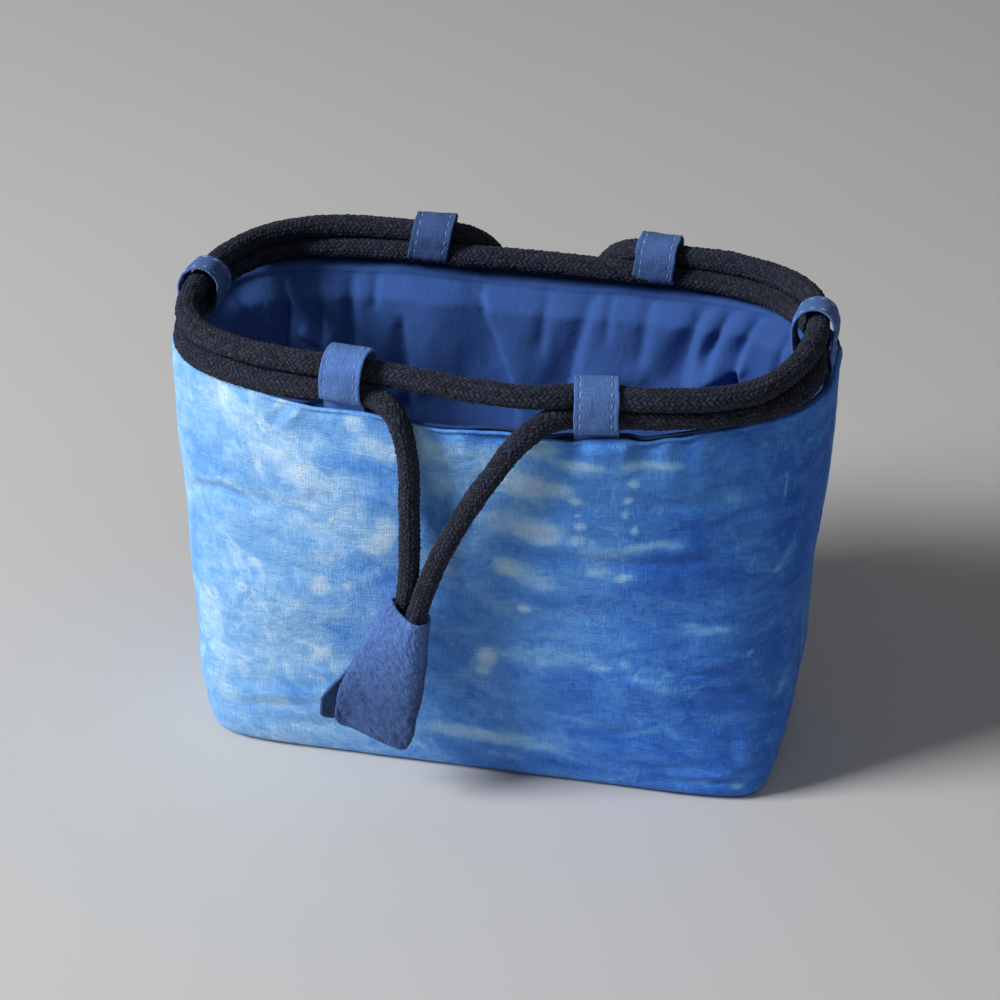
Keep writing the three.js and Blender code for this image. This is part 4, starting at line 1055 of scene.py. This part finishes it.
def build_tabs(sizes, material):
    """Two end tabs, each one sheet of crepe folded round the cord ends with its edges meeting at the left."""
    thick = sizes.tab_thickness / MM
    for index, (name, row) in enumerate(zip(TAB_NAMES, zip(*TABS.values()))):
        *hung_at, swing, turn, room = row
        down = TAB_TOP + (TAB_HEM - TAB_TOP) * edged(122, TAB_HEM - TAB_TOP, thick)
        across = edged(132, TAB_ROUND, thick)
        x, y = tab_section(across[None, :], down[:, None], thick, room)
        # The front ply's corner is rounded off, and the back ply's hangs lower.
        corner = 3.0 * fade((across - 0.8) / 0.1) - 3.2 * bell(across - 1, 0.045) - 2.4 * bell(across, 0.04)
        hang = down[:, None] + corner * fade((down[:, None] - 34) / 12)
        # The mouth's lip rises to its left corner, drops at its right one, and sags behind.
        lip = 1.9 * bell(across - 0.72, 0.17) - 1.9 * (bell(across, 0.09) + bell(across - 1, 0.06))
        lip = lip + 0.3 * bell(across - 0.5, 0.06)
        hang = hang + lip * fade((9 - down[:, None]) / 9)
        local = np.stack(np.broadcast_arrays(x, y, -hang), -1)
        # Crinkles of the crepe and a few slanting drags, strongest on the loose lower half.
        far = across[None, :] * TAB_ROUND
        slant = far * 0.6 + down[:, None] * 0.8
        cross = far * 0.8 - down[:, None] * 0.6
        drag = 0.34 * cloud(cross / 4.2 + 30, slant / 15 + 30, 51 + index)
        drag = drag + 0.2 * cloud(cross / 1.9 + 30, slant / 7 + 30, 53 + index)
        crinkle = 0.19 * cloud(cross / 0.78 + 3, slant / 1.05 + 3, 55 + index)
        crinkle = crinkle + 0.07 * cloud(cross / 0.45 + 5, slant / 0.8 + 5, 57 + index)
        body = drag * fade((down[:, None] + 2) / 12) * (0.55 + 0.45 * fade((down[:, None] - 18) / 20))
        local = local - grid_normals(local) * body[..., None]
        local[..., 2] += 0.5 * cloud(far / 7, 0 * far + 0.4, 59 + index) * fade((down[:, None] - 38) / 8)
        middle = spun(spun(local, 2, 0, math.radians(swing)), 0, 1, math.radians(turn)) + hung_at
        points, faces, place = cloth_skin(middle, thick, lift=crinkle)
        uv = np.stack([across[place[:, 1]] * TAB_ROUND, down[place[:, 0]] + TAB_CLOTH * index], -1)
        fall = down[place[:, 0]]
        # Painted shade, carried as the value dyed: darker towards the hem and along the right side of the tab.
        dyed = 1.0 - 0.42 * fade((fall - 6) / 30) - 0.34 * bell(across[place[:, 1]] - 0.47, 0.09)
        tab = make_piece(
            f"end_tab_{name}", points, faces, material, uv[faces], {"dyed": dyed}, replaces=[f"tab_{name}"]
        )


# ---------------------------------------------------------------------------------------------------------------------
# Materials
# ---------------------------------------------------------------------------------------------------------------------


def add(tree, kind, inputs=None, **settings):
    """A shader node with its settings, and its inputs linked or set by name or number."""
    made = tree.nodes.new(kind)
    for key, value in settings.items():
        setattr(made, key, value)
    for key, value in (inputs or {}).items():
        if isinstance(value, bpy.types.NodeSocket):
            tree.links.new(value, made.inputs[key])
        else:
            made.inputs[key].default_value = value
    return made


def maths(tree, operation, a, b=0.0, c=0.0, clamp=False):
    """The result of one Math node."""
    return add(tree, "ShaderNodeMath", {0: a, 1: b, 2: c}, operation=operation, use_clamp=clamp).outputs[0]


def plus(tree, a, b):
    """The sum of two values."""
    return maths(tree, "ADD", a, b)


def minus(tree, a, b):
    """One value less another."""
    return maths(tree, "SUBTRACT", a, b)


def times(tree, a, b):
    """The product of two values."""
    return maths(tree, "MULTIPLY", a, b)


def times_plus(tree, a, b, c):
    """The product of two values, plus a third."""
    return maths(tree, "MULTIPLY_ADD", a, b, c)


def attribute(tree, name):
    """A value that the mesh carries."""
    return add(tree, "ShaderNodeAttribute", attribute_name=name).outputs["Fac"]


def mixed(tree, factor, under, over, **settings):
    """One colour laid over another."""
    return add(tree, "ShaderNodeMix", {"Factor": factor, 6: under, 7: over}, data_type="RGBA", **settings).outputs[2]


def stretched(tree, place, x, y, z=1.0):
    """A place scaled by its own factor along each axis."""
    return add(
        tree, "ShaderNodeVectorMath", {0: place, 1: (x, y, z)}, operation="MULTIPLY"
    ).outputs[0]


def noise(tree, place, scale, detail=3.0, rough=0.55, distortion=0.0):
    """The value of a Noise node, from 0 to 1."""
    return add(
        tree,
        "ShaderNodeTexNoise",
        {"Vector": place, "Scale": scale, "Detail": detail, "Roughness": rough, "Distortion": distortion},
    ).outputs["Fac"]


def spread(tree, value, low, high, to_low=0.0, to_high=1.0):
    """A value stretched from low..high to another range, held at its ends."""
    return add(
        tree,
        "ShaderNodeMapRange",
        {"Value": value, "From Min": low, "From Max": high, "To Min": to_low, "To Max": to_high},
    ).outputs["Result"]


def group(name, inputs, outputs):
    """An empty shader group with named sockets, given as (name, kind, default)."""
    made = bpy.data.node_groups.new(name, "ShaderNodeTree")
    for socket, kind, default in inputs:
        new = made.interface.new_socket(socket, in_out="INPUT", socket_type=kind)
        if default is not None:
            new.default_value = default
    for socket, kind in outputs:
        made.interface.new_socket(socket, in_out="OUTPUT", socket_type=kind)
    return made, made.nodes.new("NodeGroupInput").outputs, made.nodes.new("NodeGroupOutput").inputs


def plain_weave():
    """Threads over and under each other: sin(x) sin(y) at the thread pitch for the relief, and long thin streaks both
    ways for slubs of uneven yarn."""
    made, given, result = group(
        "plain weave",
        [("Place", "NodeSocketVector", None), ("Threads", "NodeSocketFloat", 2000.0), ("Slub", "NodeSocketFloat", 0.2)],
        [("Height", "NodeSocketFloat"), ("Shade", "NodeSocketFloat")],
    )
    place = given["Place"]
    scaled = add(made, "ShaderNodeVectorMath", {0: place, "Scale": given["Threads"]}, operation="SCALE").outputs[0]
    parts = add(made, "ShaderNodeSeparateXYZ", {0: scaled}).outputs
    wave_x = maths(made, "SINE", times(made, parts["X"], math.pi))
    wave_y = maths(made, "SINE", times(made, parts["Y"], math.pi))
    crossed = times(made, wave_x, wave_y)
    warp = noise(made, stretched(made, scaled, 1.3, 0.09), 1.0, 2.0, 0.65)
    weft = noise(made, stretched(made, scaled, 0.08, 1.3), 1.0, 2.0, 0.65)
    slubs = minus(made, plus(made, warp, weft), 1.0)
    relief = times_plus(made, crossed, 0.22, times_plus(made, slubs, 1.4, 0.5))
    made.links.new(relief, result["Height"])
    shade = times_plus(made, slubs, given["Slub"], 1.0)
    shade = times_plus(made, crossed, times(made, given["Slub"], 0.06), shade)
    made.links.new(shade, result["Shade"])
    return made


def crinkle_group():
    """The crinkled grain of crepe: slanted noise at two sizes, stretched along the slant."""
    made, given, result = group(
        "crepe crinkle",
        [("Place", "NodeSocketVector", None), ("Size", "NodeSocketFloat", 1000.0)],
        [("Height", "NodeSocketFloat")],
    )
    turned = add(
        made, "ShaderNodeVectorRotate", {"Vector": given["Place"], "Angle": math.radians(38)}, rotation_type="Z_AXIS"
    ).outputs[0]
    sized = add(made, "ShaderNodeVectorMath", {0: turned, "Scale": given["Size"]}, operation="SCALE").outputs[0]
    coarse = noise(made, stretched(made, sized, 1.3, 0.6), 1.0, 2.0, 0.55, 0.6)
    fine = noise(made, stretched(made, sized, 2.6, 1.7), 1.0, 2.0, 0.6, 0.4)
    made.links.new(times_plus(made, fine, 0.4, times(made, coarse, 0.8)), result["Height"])
    return made


def dye_group():
    """Cotton dipped in blue: the painted paleness is broken up by cloudy, lumpy, streaky and veined noise and by its
    own threads, then read off a ramp from deep blue to undyed cotton."""
    made, given, result = group(
        "dipped dye",
        [
            ("Place", "NodeSocketVector", None),
            ("Pale", "NodeSocketFloat", 0.3),
            ("Blot", "NodeSocketFloat", 0.0),
            ("Warm", "NodeSocketFloat", 0.0),
            ("Streaky", "NodeSocketFloat", 0.5),
            ("Thread", "NodeSocketFloat", 1.0),
        ],
        [("Color", "NodeSocketColor")],
    )
    wander = add(made, "ShaderNodeTexNoise", {"Vector": given["Place"], "Scale": 70.0, "Detail": 3.0}).outputs["Color"]
    wander = add(made, "ShaderNodeVectorMath", {0: wander, 1: (0.5, 0.5, 0.5)}, operation="SUBTRACT").outputs[0]
    place = add(
        made, "ShaderNodeVectorMath", {0: wander, 1: (0.016, 0.010, 0), 2: given["Place"]}, operation="MULTIPLY_ADD"
    ).outputs[0]
    still = minus(made, 1.0, given["Streaky"])

    def weighed(total, value, weight):
        """A running total plus a noise's distance from 0.5 times its weight."""
        return times_plus(made, minus(made, value, 0.5), weight, total)

    cloudy = noise(made, place, 42.0, 6.0, 0.62)
    lumps = noise(made, stretched(made, place, 130.0, 165.0), 1.0, 5.0, 0.6, 0.5)
    streaks = noise(made, stretched(made, place, 55.0, 170.0), 1.0, 5.0, 0.62, 0.8)
    fleece = noise(made, stretched(made, place, 420.0, 560.0), 1.0, 3.0, 0.6)
    total = weighed(given["Pale"], cloudy, times_plus(made, still, 0.16, 0.40))
    total = weighed(total, lumps, times_plus(made, still, 0.30, 0.28))
    total = weighed(total, streaks, times_plus(made, given["Streaky"], 0.30, 0.08))
    total = weighed(total, fleece, 0.16)
    ragged = weighed(weighed(weighed(given["Blot"], lumps, 0.30), fleece, 0.16), cloudy, 0.12)
    splash = times(made, spread(made, ragged, 0.06, 0.15), spread(made, given["Blot"], 0.02, 0.08))
    total = times_plus(made, splash, 0.07, total)
    flecks = spread(made, noise(made, place, 230.0, 3.0, 0.6, 0.8), 0.585, 0.64)
    flecked = spread(made, noise(made, stretched(made, given["Place"], 38.0, 50.0, 1.0), 1.0, 2.0, 0.5), 0.46, 0.60)
    total = times_plus(made, times(made, flecks, flecked), 0.10, total)
    branch = noise(made, place, 75.0, 2.0, 0.5, 1.6)
    vein = spread(made, maths(made, "ABSOLUTE", minus(made, branch, 0.5)), 0.0, 0.022, 1.0, 0.0)
    patch = spread(made, noise(made, given["Place"], 34.0, 2.0, 0.5), 0.50, 0.62)
    total = times_plus(made, times(made, vein, patch), 0.13, total)
    total = times_plus(made, minus(made, given["Thread"], 1.0), 0.40, total)
    ramp = add(made, "ShaderNodeValToRGB", {"Fac": total})
    stops = ramp.color_ramp.elements
    shades = [
        (0.0, (0.016, 0.075, 0.38)),
        (0.20, (0.030, 0.148, 0.59)),
        (0.40, (0.085, 0.285, 0.76)),
        (0.60, (0.205, 0.455, 0.84)),
        (0.80, (0.40, 0.64, 0.92)),
        (1.0, (0.68, 0.81, 0.96)),
    ]
    while len(stops) < len(shades):
        stops.new(0.5)
    for stop, (position, color) in zip(stops, shades):
        stop.position = position
        stop.color = (*color, 1)
    undyed = maths(made, "MULTIPLY", given["Warm"], spread(made, total, 0.25, 0.75, 0.15, 1.0), clamp=True)
    color = mixed(made, times(made, undyed, 0.62), ramp.outputs["Color"], (0.40, 0.50, 0.72, 1))
    made.links.new(color, result["Color"])
    return made


GROUPS = {}


def shared(name, maker):
    """A shader group, made the first time it is asked for."""
    if name not in GROUPS:
        GROUPS[name] = maker()
    return GROUPS[name]


def use(tree, made, inputs):
    """A group placed in a material's tree."""
    return add(tree, "ShaderNodeGroup", inputs, node_tree=made).outputs


def woven(tree, place, colours, slub):
    """The plain weave at the cloth's own thread pitch."""
    return use(tree, shared("weave", plain_weave), {"Place": place, "Threads": 1 / colours.thread_pitch, "Slub": slub})


def new_material(name, inputs):
    """A material, its tree and its main shader with some inputs set."""
    made = bpy.data.materials.new(name)
    made.use_nodes = True
    shader = made.node_tree.nodes["Principled BSDF"]
    for key, value in inputs.items():
        shader.inputs[key].default_value = value
    return made, made.node_tree, shader


def cotton_material(name, roughness, sheen):
    """A cotton material: its tree, its main shader and the cloth UV of the piece."""
    made, tree, shader = new_material(
        name, {"Roughness": roughness, "Specular IOR Level": 0.25, "Sheen Weight": sheen, "Sheen Roughness": 0.45}
    )
    return made, tree, shader, add(tree, "ShaderNodeUVMap", uv_map="cloth").outputs["UV"]


def shaded(tree, color, shade):
    """A colour multiplied by a grey value."""
    return mixed(tree, 1.0, color, shade, blend_type="MULTIPLY")


def bumped(tree, height, distance, strength=1.0, under=None):
    """The normal of a Bump node over another normal."""
    inputs = {"Height": height, "Distance": distance, "Strength": strength}
    if under is not None:
        inputs["Normal"] = under
    return add(tree, "ShaderNodeBump", inputs).outputs["Normal"]


def dress(tree, shader, color, shade, creases_bump, threads_bump):
    """Gives a cloth its colour, and the relief of its threads over that of its creases. Each relief is a height, its
    distance and its strength."""
    tree.links.new(shaded(tree, color, shade), shader.inputs["Base Color"])
    tree.links.new(bumped(tree, *threads_bump, bumped(tree, *creases_bump)), shader.inputs["Normal"])


def shell_material(colours):
    """Tie-dyed plain cotton with visible threads."""
    made, tree, shader, place = cotton_material("tie-dyed cotton", 0.9, 0.03)
    painted = {name: attribute(tree, name.lower()) for name in ("Pale", "Blot", "Warm", "Streaky")}
    weave = woven(tree, place, colours, 0.36)
    dye = use(tree, shared("dye", dye_group), {"Place": place, "Thread": weave["Shade"], **painted})
    creased = noise(tree, stretched(tree, place, 190.0, 330.0), 1.0, 3.0, 0.6, 1.0)
    dress(tree, shader, dye["Color"], weave["Shade"], (creased, 0.0006, 0.6), (weave["Height"], 0.00018, 0.7))
    return made


def lining_material(colours):
    """Soft blue cotton, a little uneven in its dye, with painted shade along its rolled edge."""
    made, tree, shader, place = cotton_material("lining cotton", 0.88, 0.03)
    weave = woven(tree, place, colours, 0.22)
    uneven = spread(tree, noise(tree, place, 40.0, 4.0, 0.6), 0.3, 0.7, 0.88, 1.1)
    # The value dyed is painted shade along the rolled edge.
    depth = attribute(tree, "dyed")
    shade = times(tree, times(tree, weave["Shade"], uneven), depth)
    rumpled = noise(tree, stretched(tree, place, 160.0, 110.0), 1.0, 3.0, 0.5, 0.6)
    dress(tree, shader, (*colours.lining, 1), shade, (rumpled, 0.0008, 0.5), (weave["Height"], 0.00012, 0.5))
    return made


def crepe_material(name, color, colours, grain, crinkled):
    """Crinkled blue crepe, with painted light on the crests of its crinkle, painted shade in its hollows, and the
    painted shade that each piece carries.
    """
    made, tree, shader, place = cotton_material(name, 0.94, 0.05)
    weave = woven(tree, place, colours, 0.4)
    crinkle = use(tree, shared("crinkle", crinkle_group), {"Place": place, "Size": grain})["Height"]
    # Painted light on the crinkle's crests and painted shade in its hollows.
    crinkle_painted_shade = spread(tree, crinkle, 0.35, 0.85, 1 - 0.3 * crinkled, 1 + 0.35 * crinkled)
    cloudy = spread(tree, noise(tree, place, 120.0, 4.0, 0.6), 0.3, 0.7, 0.9, 1.12)
    # The value dyed is painted shade: each loop's own level, and the tab's darker lower part and right side.
    depth = attribute(tree, "dyed")
    shade = times(tree, times(tree, weave["Shade"], crinkle_painted_shade), times(tree, cloudy, depth))
    dress(tree, shader, (*color, 1), shade, (crinkle, 0.0008 * crinkled, 0.8), (weave["Height"], 0.0002, 0.6))
    return made


def cord_material(colours):
    """Nearly black braided cotton. The cloth UV counts strands round and along the cord, and a = u + v and b = u - v
    count the strands that cross; each shows over two and hides under two, and is made of three yarns."""
    made, tree, shader, place = cotton_material("braided cotton", 0.9, 0.05)
    parts = add(tree, "ShaderNodeSeparateXYZ", {0: place}).outputs
    a = plus(tree, parts["X"], parts["Y"])
    b = minus(tree, parts["X"], parts["Y"])
    turn = maths(tree, "FLOORED_MODULO", plus(tree, maths(tree, "FLOOR", a), maths(tree, "FLOOR", b)), 4.0)
    over = maths(tree, "LESS_THAN", turn, 1.5)
    part_a, part_b = minus(tree, a, maths(tree, "FLOOR", a)), minus(tree, b, maths(tree, "FLOOR", b))

    def either(when_over, otherwise):
        return add(tree, "ShaderNodeMix", {0: over, 2: otherwise, 3: when_over}).outputs[0]

    def fallen(distance, share):
        """How far the relief falls away from a strand's middle: the distance to the power of 2.5, times a share."""
        return times(tree, maths(tree, "POWER", maths(tree, "ABSOLUTE", distance), 2.5), share)

    across = minus(tree, either(part_a, part_b), 0.5)
    along = minus(tree, plus(tree, either(part_b, part_a), either(turn, minus(tree, turn, 2.0))), 1.0)
    own = add(tree, "ShaderNodeCombineXYZ", {0: across, 1: along, 2: either(a, plus(tree, b, 31.0))}).outputs[0]
    flat, end = fallen(times(tree, across, 2.0), -1.0), fallen(along, -0.6)
    section = plus(tree, plus(tree, flat, end), 1.0)
    slip = times(tree, noise(tree, stretched(tree, own, 2.0, 0.8, 0.7), 1.0, 1.0), 2.2)
    yarns = maths(tree, "COSINE", times_plus(tree, across, 22.0, slip))
    fibres = noise(tree, stretched(tree, own, 9.0, 1.6, 1.3), 1.0, 3.0, 0.7, 0.8)
    height = times_plus(tree, yarns, 0.22, section)
    height = times_plus(tree, fibres, 0.5, height)
    yarn = attribute(tree, "yarn")
    # Painted shade in the braid's hollows and painted highlights on its crests and fibres, times each strand's own yarn
    # tone.
    lit = times(tree, spread(tree, height, 0.1, 1.3, 0.2, 1.45), spread(tree, fibres, 0.3, 0.75, 0.35, 2.3))
    lit = times(tree, lit, spread(tree, yarn, 0.0, 1.0, 0.55, 1.55))
    dark = shaded(tree, (*colours.cord, 1), lit)
    dust = noise(tree, stretched(tree, place, 0.35, 0.6), 1.0, 3.0, 0.7)
    brown = times(tree, spread(tree, dust, 0.52, 0.68), spread(tree, fibres, 0.45, 0.65, 0.0, 0.8))
    browned = mixed(tree, brown, dark, (0.085, 0.058, 0.032, 1))
    lint = spread(tree, noise(tree, stretched(tree, place, 1.9, 1.2), 1.0, 1.0, 0.5), 0.80, 0.83, 0.0, 0.75)
    color = mixed(tree, lint, browned, (0.35, 0.33, 0.31, 1))
    tree.links.new(color, shader.inputs["Base Color"])
    tree.links.new(bumped(tree, height, 0.0003, 0.9), shader.inputs["Normal"])
    return made


def thread_material(colours):
    """Pale twisted sewing thread."""
    made, tree, shader = new_material("sewing thread", {"Roughness": 0.6})
    place = add(tree, "ShaderNodeTexCoord").outputs["Object"]
    twist = add(
        tree, "ShaderNodeTexWave", {"Vector": place, "Scale": 900.0, "Distortion": 1.5}, bands_direction="DIAGONAL"
    ).outputs["Fac"]
    tree.links.new(
        shaded(tree, (*colours.thread, 1), spread(tree, twist, 0.0, 1.0, 0.75, 1.05)), shader.inputs["Base Color"]
    )
    tree.links.new(bumped(tree, twist, 0.0001, 0.4), shader.inputs["Normal"])
    return made


def floor_material():
    """A plain pale matt floor, very slightly uneven."""
    made, tree, shader = new_material("pale floor", {"Roughness": 0.7})
    place = add(tree, "ShaderNodeTexCoord").outputs["Object"]
    uneven = spread(tree, noise(tree, place, 3.0, 3.0, 0.5), 0.3, 0.7, 0.97, 1.0)
    tree.links.new(shaded(tree, (0.62, 0.60, 0.58, 1), uneven), shader.inputs["Base Color"])
    return made


# ---------------------------------------------------------------------------------------------------------------------
# Stage
# ---------------------------------------------------------------------------------------------------------------------

VIEW_LENS, VIEW_SENSOR = 97.2, 36
VIEW_AZIMUTH, VIEW_ELEVATION, VIEW_DISTANCE = 12.1, 30.6, 0.842
VIEW_AIM = Vector((-0.00231, 0.00505, 0.07477))
FLOOR_HALF = 4.0
SOFT_WHITE, ROOM_WHITE = (0.95, 0.98, 1.0), (0.92, 0.95, 1.0)


def aimed(name, data, azimuth, elevation, distance):
    """A camera or light that faces the bag from an azimuth (0 is the front, positive to the right) and a height, both
    in degrees."""
    azimuth, elevation = math.radians(azimuth), math.radians(elevation)
    level = math.cos(elevation)
    back = Vector((math.sin(azimuth) * level, -math.cos(azimuth) * level, math.sin(elevation)))
    made = placed(name, data)
    made.location = VIEW_AIM + back * distance
    made.rotation_euler = back.to_track_quat("Z", "Y").to_euler()
    return made


def soft_box(name, azimuth, elevation, distance, size, power):
    """A square area light that faces the bag."""
    light = bpy.data.lights.new(name, "AREA")
    light.shape = "SQUARE"
    light.size = size
    light.energy = power
    light.color = SOFT_WHITE
    aimed(name, light, azimuth, elevation, distance)


def build_stage(light):
    """The camera, a pale floor, a soft key light from the left, and a faint even fill."""
    scene = bpy.context.scene
    camera_data = bpy.data.cameras.new("camera")
    camera_data.lens = VIEW_LENS
    camera_data.sensor_width = VIEW_SENSOR
    camera_data.clip_end = 50
    scene.camera = aimed("camera", camera_data, VIEW_AZIMUTH, VIEW_ELEVATION, VIEW_DISTANCE)
    half = FLOOR_HALF
    mesh = bpy.data.meshes.new("floor")
    corners = [(-half, -half, 0), (half, -half, 0), (half, half, 0), (-half, half, 0)]
    mesh.from_pydata(corners, [], [(0, 1, 2, 3)])
    mesh.materials.append(floor_material())
    placed("floor", mesh)
    soft_box("key_light", -60, 36, 2.2, light.key_size, light.key_power)
    soft_box("fill_light", 35, 50, 1.8, 1.4, light.fill_power)
    world = bpy.data.worlds.new("soft room")
    world.use_nodes = True
    background = world.node_tree.nodes["Background"].inputs
    background["Color"].default_value = (*ROOM_WHITE, 1)
    background["Strength"].default_value = light.room
    scene.world = world
    scene.view_settings.view_transform = "Standard"


# ---------------------------------------------------------------------------------------------------------------------
# Settings, operators and panel
# ---------------------------------------------------------------------------------------------------------------------


def length_property(name, description, default):
    """A length in metres."""
    return bpy.props.FloatProperty(
        name=name, description=description, default=default, min=0, precision=4, subtype="DISTANCE", unit="LENGTH"
    )


def colour_property(name, description, default):
    """A linear colour."""
    return bpy.props.FloatVectorProperty(
        name=name, description=description, default=default, size=3, min=0, max=1, subtype="COLOR"
    )


def power_property(name, description, default):
    """A light's power in watts."""
    return bpy.props.FloatProperty(name=name, description=description, default=default, subtype="POWER", unit="POWER")


class BagSizes(bpy.types.PropertyGroup):
    """Sizes of the bag's cloth and cord."""

    shell_thickness: length_property("Shell thickness", "Outer cotton with its wadding", 0.003)
    lining_thickness: length_property("Lining thickness", "Inner cotton", 0.0013)
    strap_width: length_property("Strap width", "Width of a folded loop strap", 0.0127)
    strap_thickness: length_property("Strap thickness", "Thickness of a folded loop strap", 0.0008)
    stitch_inset: length_property("Stitch inset", "From a strap's edge to its row of stitches", 0.0016)
    cord_diameter: length_property("Cord diameter", "Braided drawcord round the rim", 0.0068)
    braid_pitch: length_property("Braid pitch", "Length of one strand along the cord", 0.00165)
    tab_thickness: length_property("Tab thickness", "Crepe of the end tabs", 0.0011)


class BagColours(bpy.types.PropertyGroup):
    """Colours and threads of the bag's cloth and cord."""

    lining: colour_property("Lining", "Colour of the lining", (0.037, 0.100, 0.335))
    strap: colour_property("Strap", "Colour of the loop straps", (0.090, 0.188, 0.48))
    tab: colour_property("Tab", "Colour of the end tabs", (0.085, 0.168, 0.44))
    cord: colour_property("Cord", "Colour of the drawcords", (0.0145, 0.0185, 0.036))
    thread: colour_property("Thread", "Colour of the topstitching", (0.38, 0.50, 0.80))
    thread_pitch: length_property("Thread pitch", "Distance between two threads of the cloth", 0.00052)


class BagLight(bpy.types.PropertyGroup):
    """Strengths of the studio light."""

    key_power: power_property("Key power", "Soft box at the left", 57)
    key_size: length_property("Key size", "Side of the soft box", 0.7)
    fill_power: power_property("Fill power", "Soft box at the right", 2.5)
    room: bpy.props.FloatProperty(name="Room light", description="Even light all round", default=0.11, min=0)


class BAG_OT_stage(bpy.types.Operator):
    """Set up the camera, the floor and the soft light"""

    bl_idname = "bag.stage"
    bl_label = "Set Up Stage"

    def execute(self, context):
        build_stage(context.scene.bag_light)
        return {"FINISHED"}


class BAG_OT_tabs(bpy.types.Operator):
    """Fold the crepe tabs round the cord ends"""

    bl_idname = "bag.tabs"
    bl_label = "Add End Tabs"

    def execute(self, context):
        colours = context.scene.bag_colours
        build_tabs(context.scene.bag_sizes, crepe_material("tab crepe", colours.tab, colours, 700.0, 1.15))
        return {"FINISHED"}


class BAG_OT_cords(bpy.types.Operator):
    """Lay the two braided drawcords round the rim"""

    bl_idname = "bag.cords"
    bl_label = "Add Drawcords"

    def execute(self, context):
        sizes = context.scene.bag_sizes
        material = cord_material(context.scene.bag_colours)
        for name, route in (("front", FRONT_CORD), ("back", BACK_CORD)):
            end_tab = bpy.data.objects.get(f"end_tab_{name}")
            if end_tab is None:
                raise RuntimeError("the end tabs come before the cords")
            build_cord(f"drawcord_{name}", f"cord_{name}", route, sizes, material)
        return {"FINISHED"}


class BAG_OT_shell(bpy.types.Operator):
    """Build the padded tie-dyed shell"""

    bl_idname = "bag.shell"
    bl_label = "Add Shell"

    def execute(self, context):
        build_shell(context.scene.bag_sizes, shell_material(context.scene.bag_colours))
        return {"FINISHED"}


class BAG_OT_lining(bpy.types.Operator):
    """Hang the loose lining in the shell"""

    bl_idname = "bag.lining"
    bl_label = "Add Lining"

    def execute(self, context):
        build_lining(context.scene.bag_sizes, lining_material(context.scene.bag_colours))
        return {"FINISHED"}


class BAG_OT_loops(bpy.types.Operator):
    """Sew the six strap loops into the rim"""

    bl_idname = "bag.loops"
    bl_label = "Add Loops"

    def execute(self, context):
        colours = context.scene.bag_colours
        strap = crepe_material("strap cotton", colours.strap, colours, 1700.0, 0.5)
        build_loops(context.scene.bag_sizes, strap, thread_material(colours))
        return {"FINISHED"}


class BAG_PT_panel(bpy.types.Panel):
    """The bag's pieces, sizes and colours in the sidebar"""

    bl_idname = "BAG_PT_panel"
    bl_label = "Storage Bag"
    bl_space_type = "VIEW_3D"
    bl_region_type = "UI"
    bl_category = "Storage Bag"

    def draw(self, context):
        for operator in OPERATORS:
            self.layout.operator(operator.bl_idname)
        for settings in (context.scene.bag_sizes, context.scene.bag_colours, context.scene.bag_light):
            box = self.layout.box()
            for key in settings.__annotations__:
                box.prop(settings, key)


SETTINGS = {"bag_sizes": BagSizes, "bag_colours": BagColours, "bag_light": BagLight}
OPERATORS = [BAG_OT_stage, BAG_OT_tabs, BAG_OT_cords, BAG_OT_shell, BAG_OT_lining, BAG_OT_loops]


def register():
    for made in (*SETTINGS.values(), *OPERATORS, BAG_PT_panel):
        bpy.utils.register_class(made)
    for name, made in SETTINGS.items():
        setattr(bpy.types.Scene, name, bpy.props.PointerProperty(type=made))


def unregister():
    for name in SETTINGS:
        delattr(bpy.types.Scene, name)
    for made in (BAG_PT_panel, *reversed(OPERATORS), *reversed(list(SETTINGS.values()))):
        bpy.utils.unregister_class(made)


def main():
    register()
    bpy.ops.bag.stage()
    bpy.ops.bag.tabs()
    bpy.ops.bag.cords()
    bpy.ops.bag.shell()
    bpy.ops.bag.lining()
    bpy.ops.bag.loops()


if __name__ == "__main__":
    main()
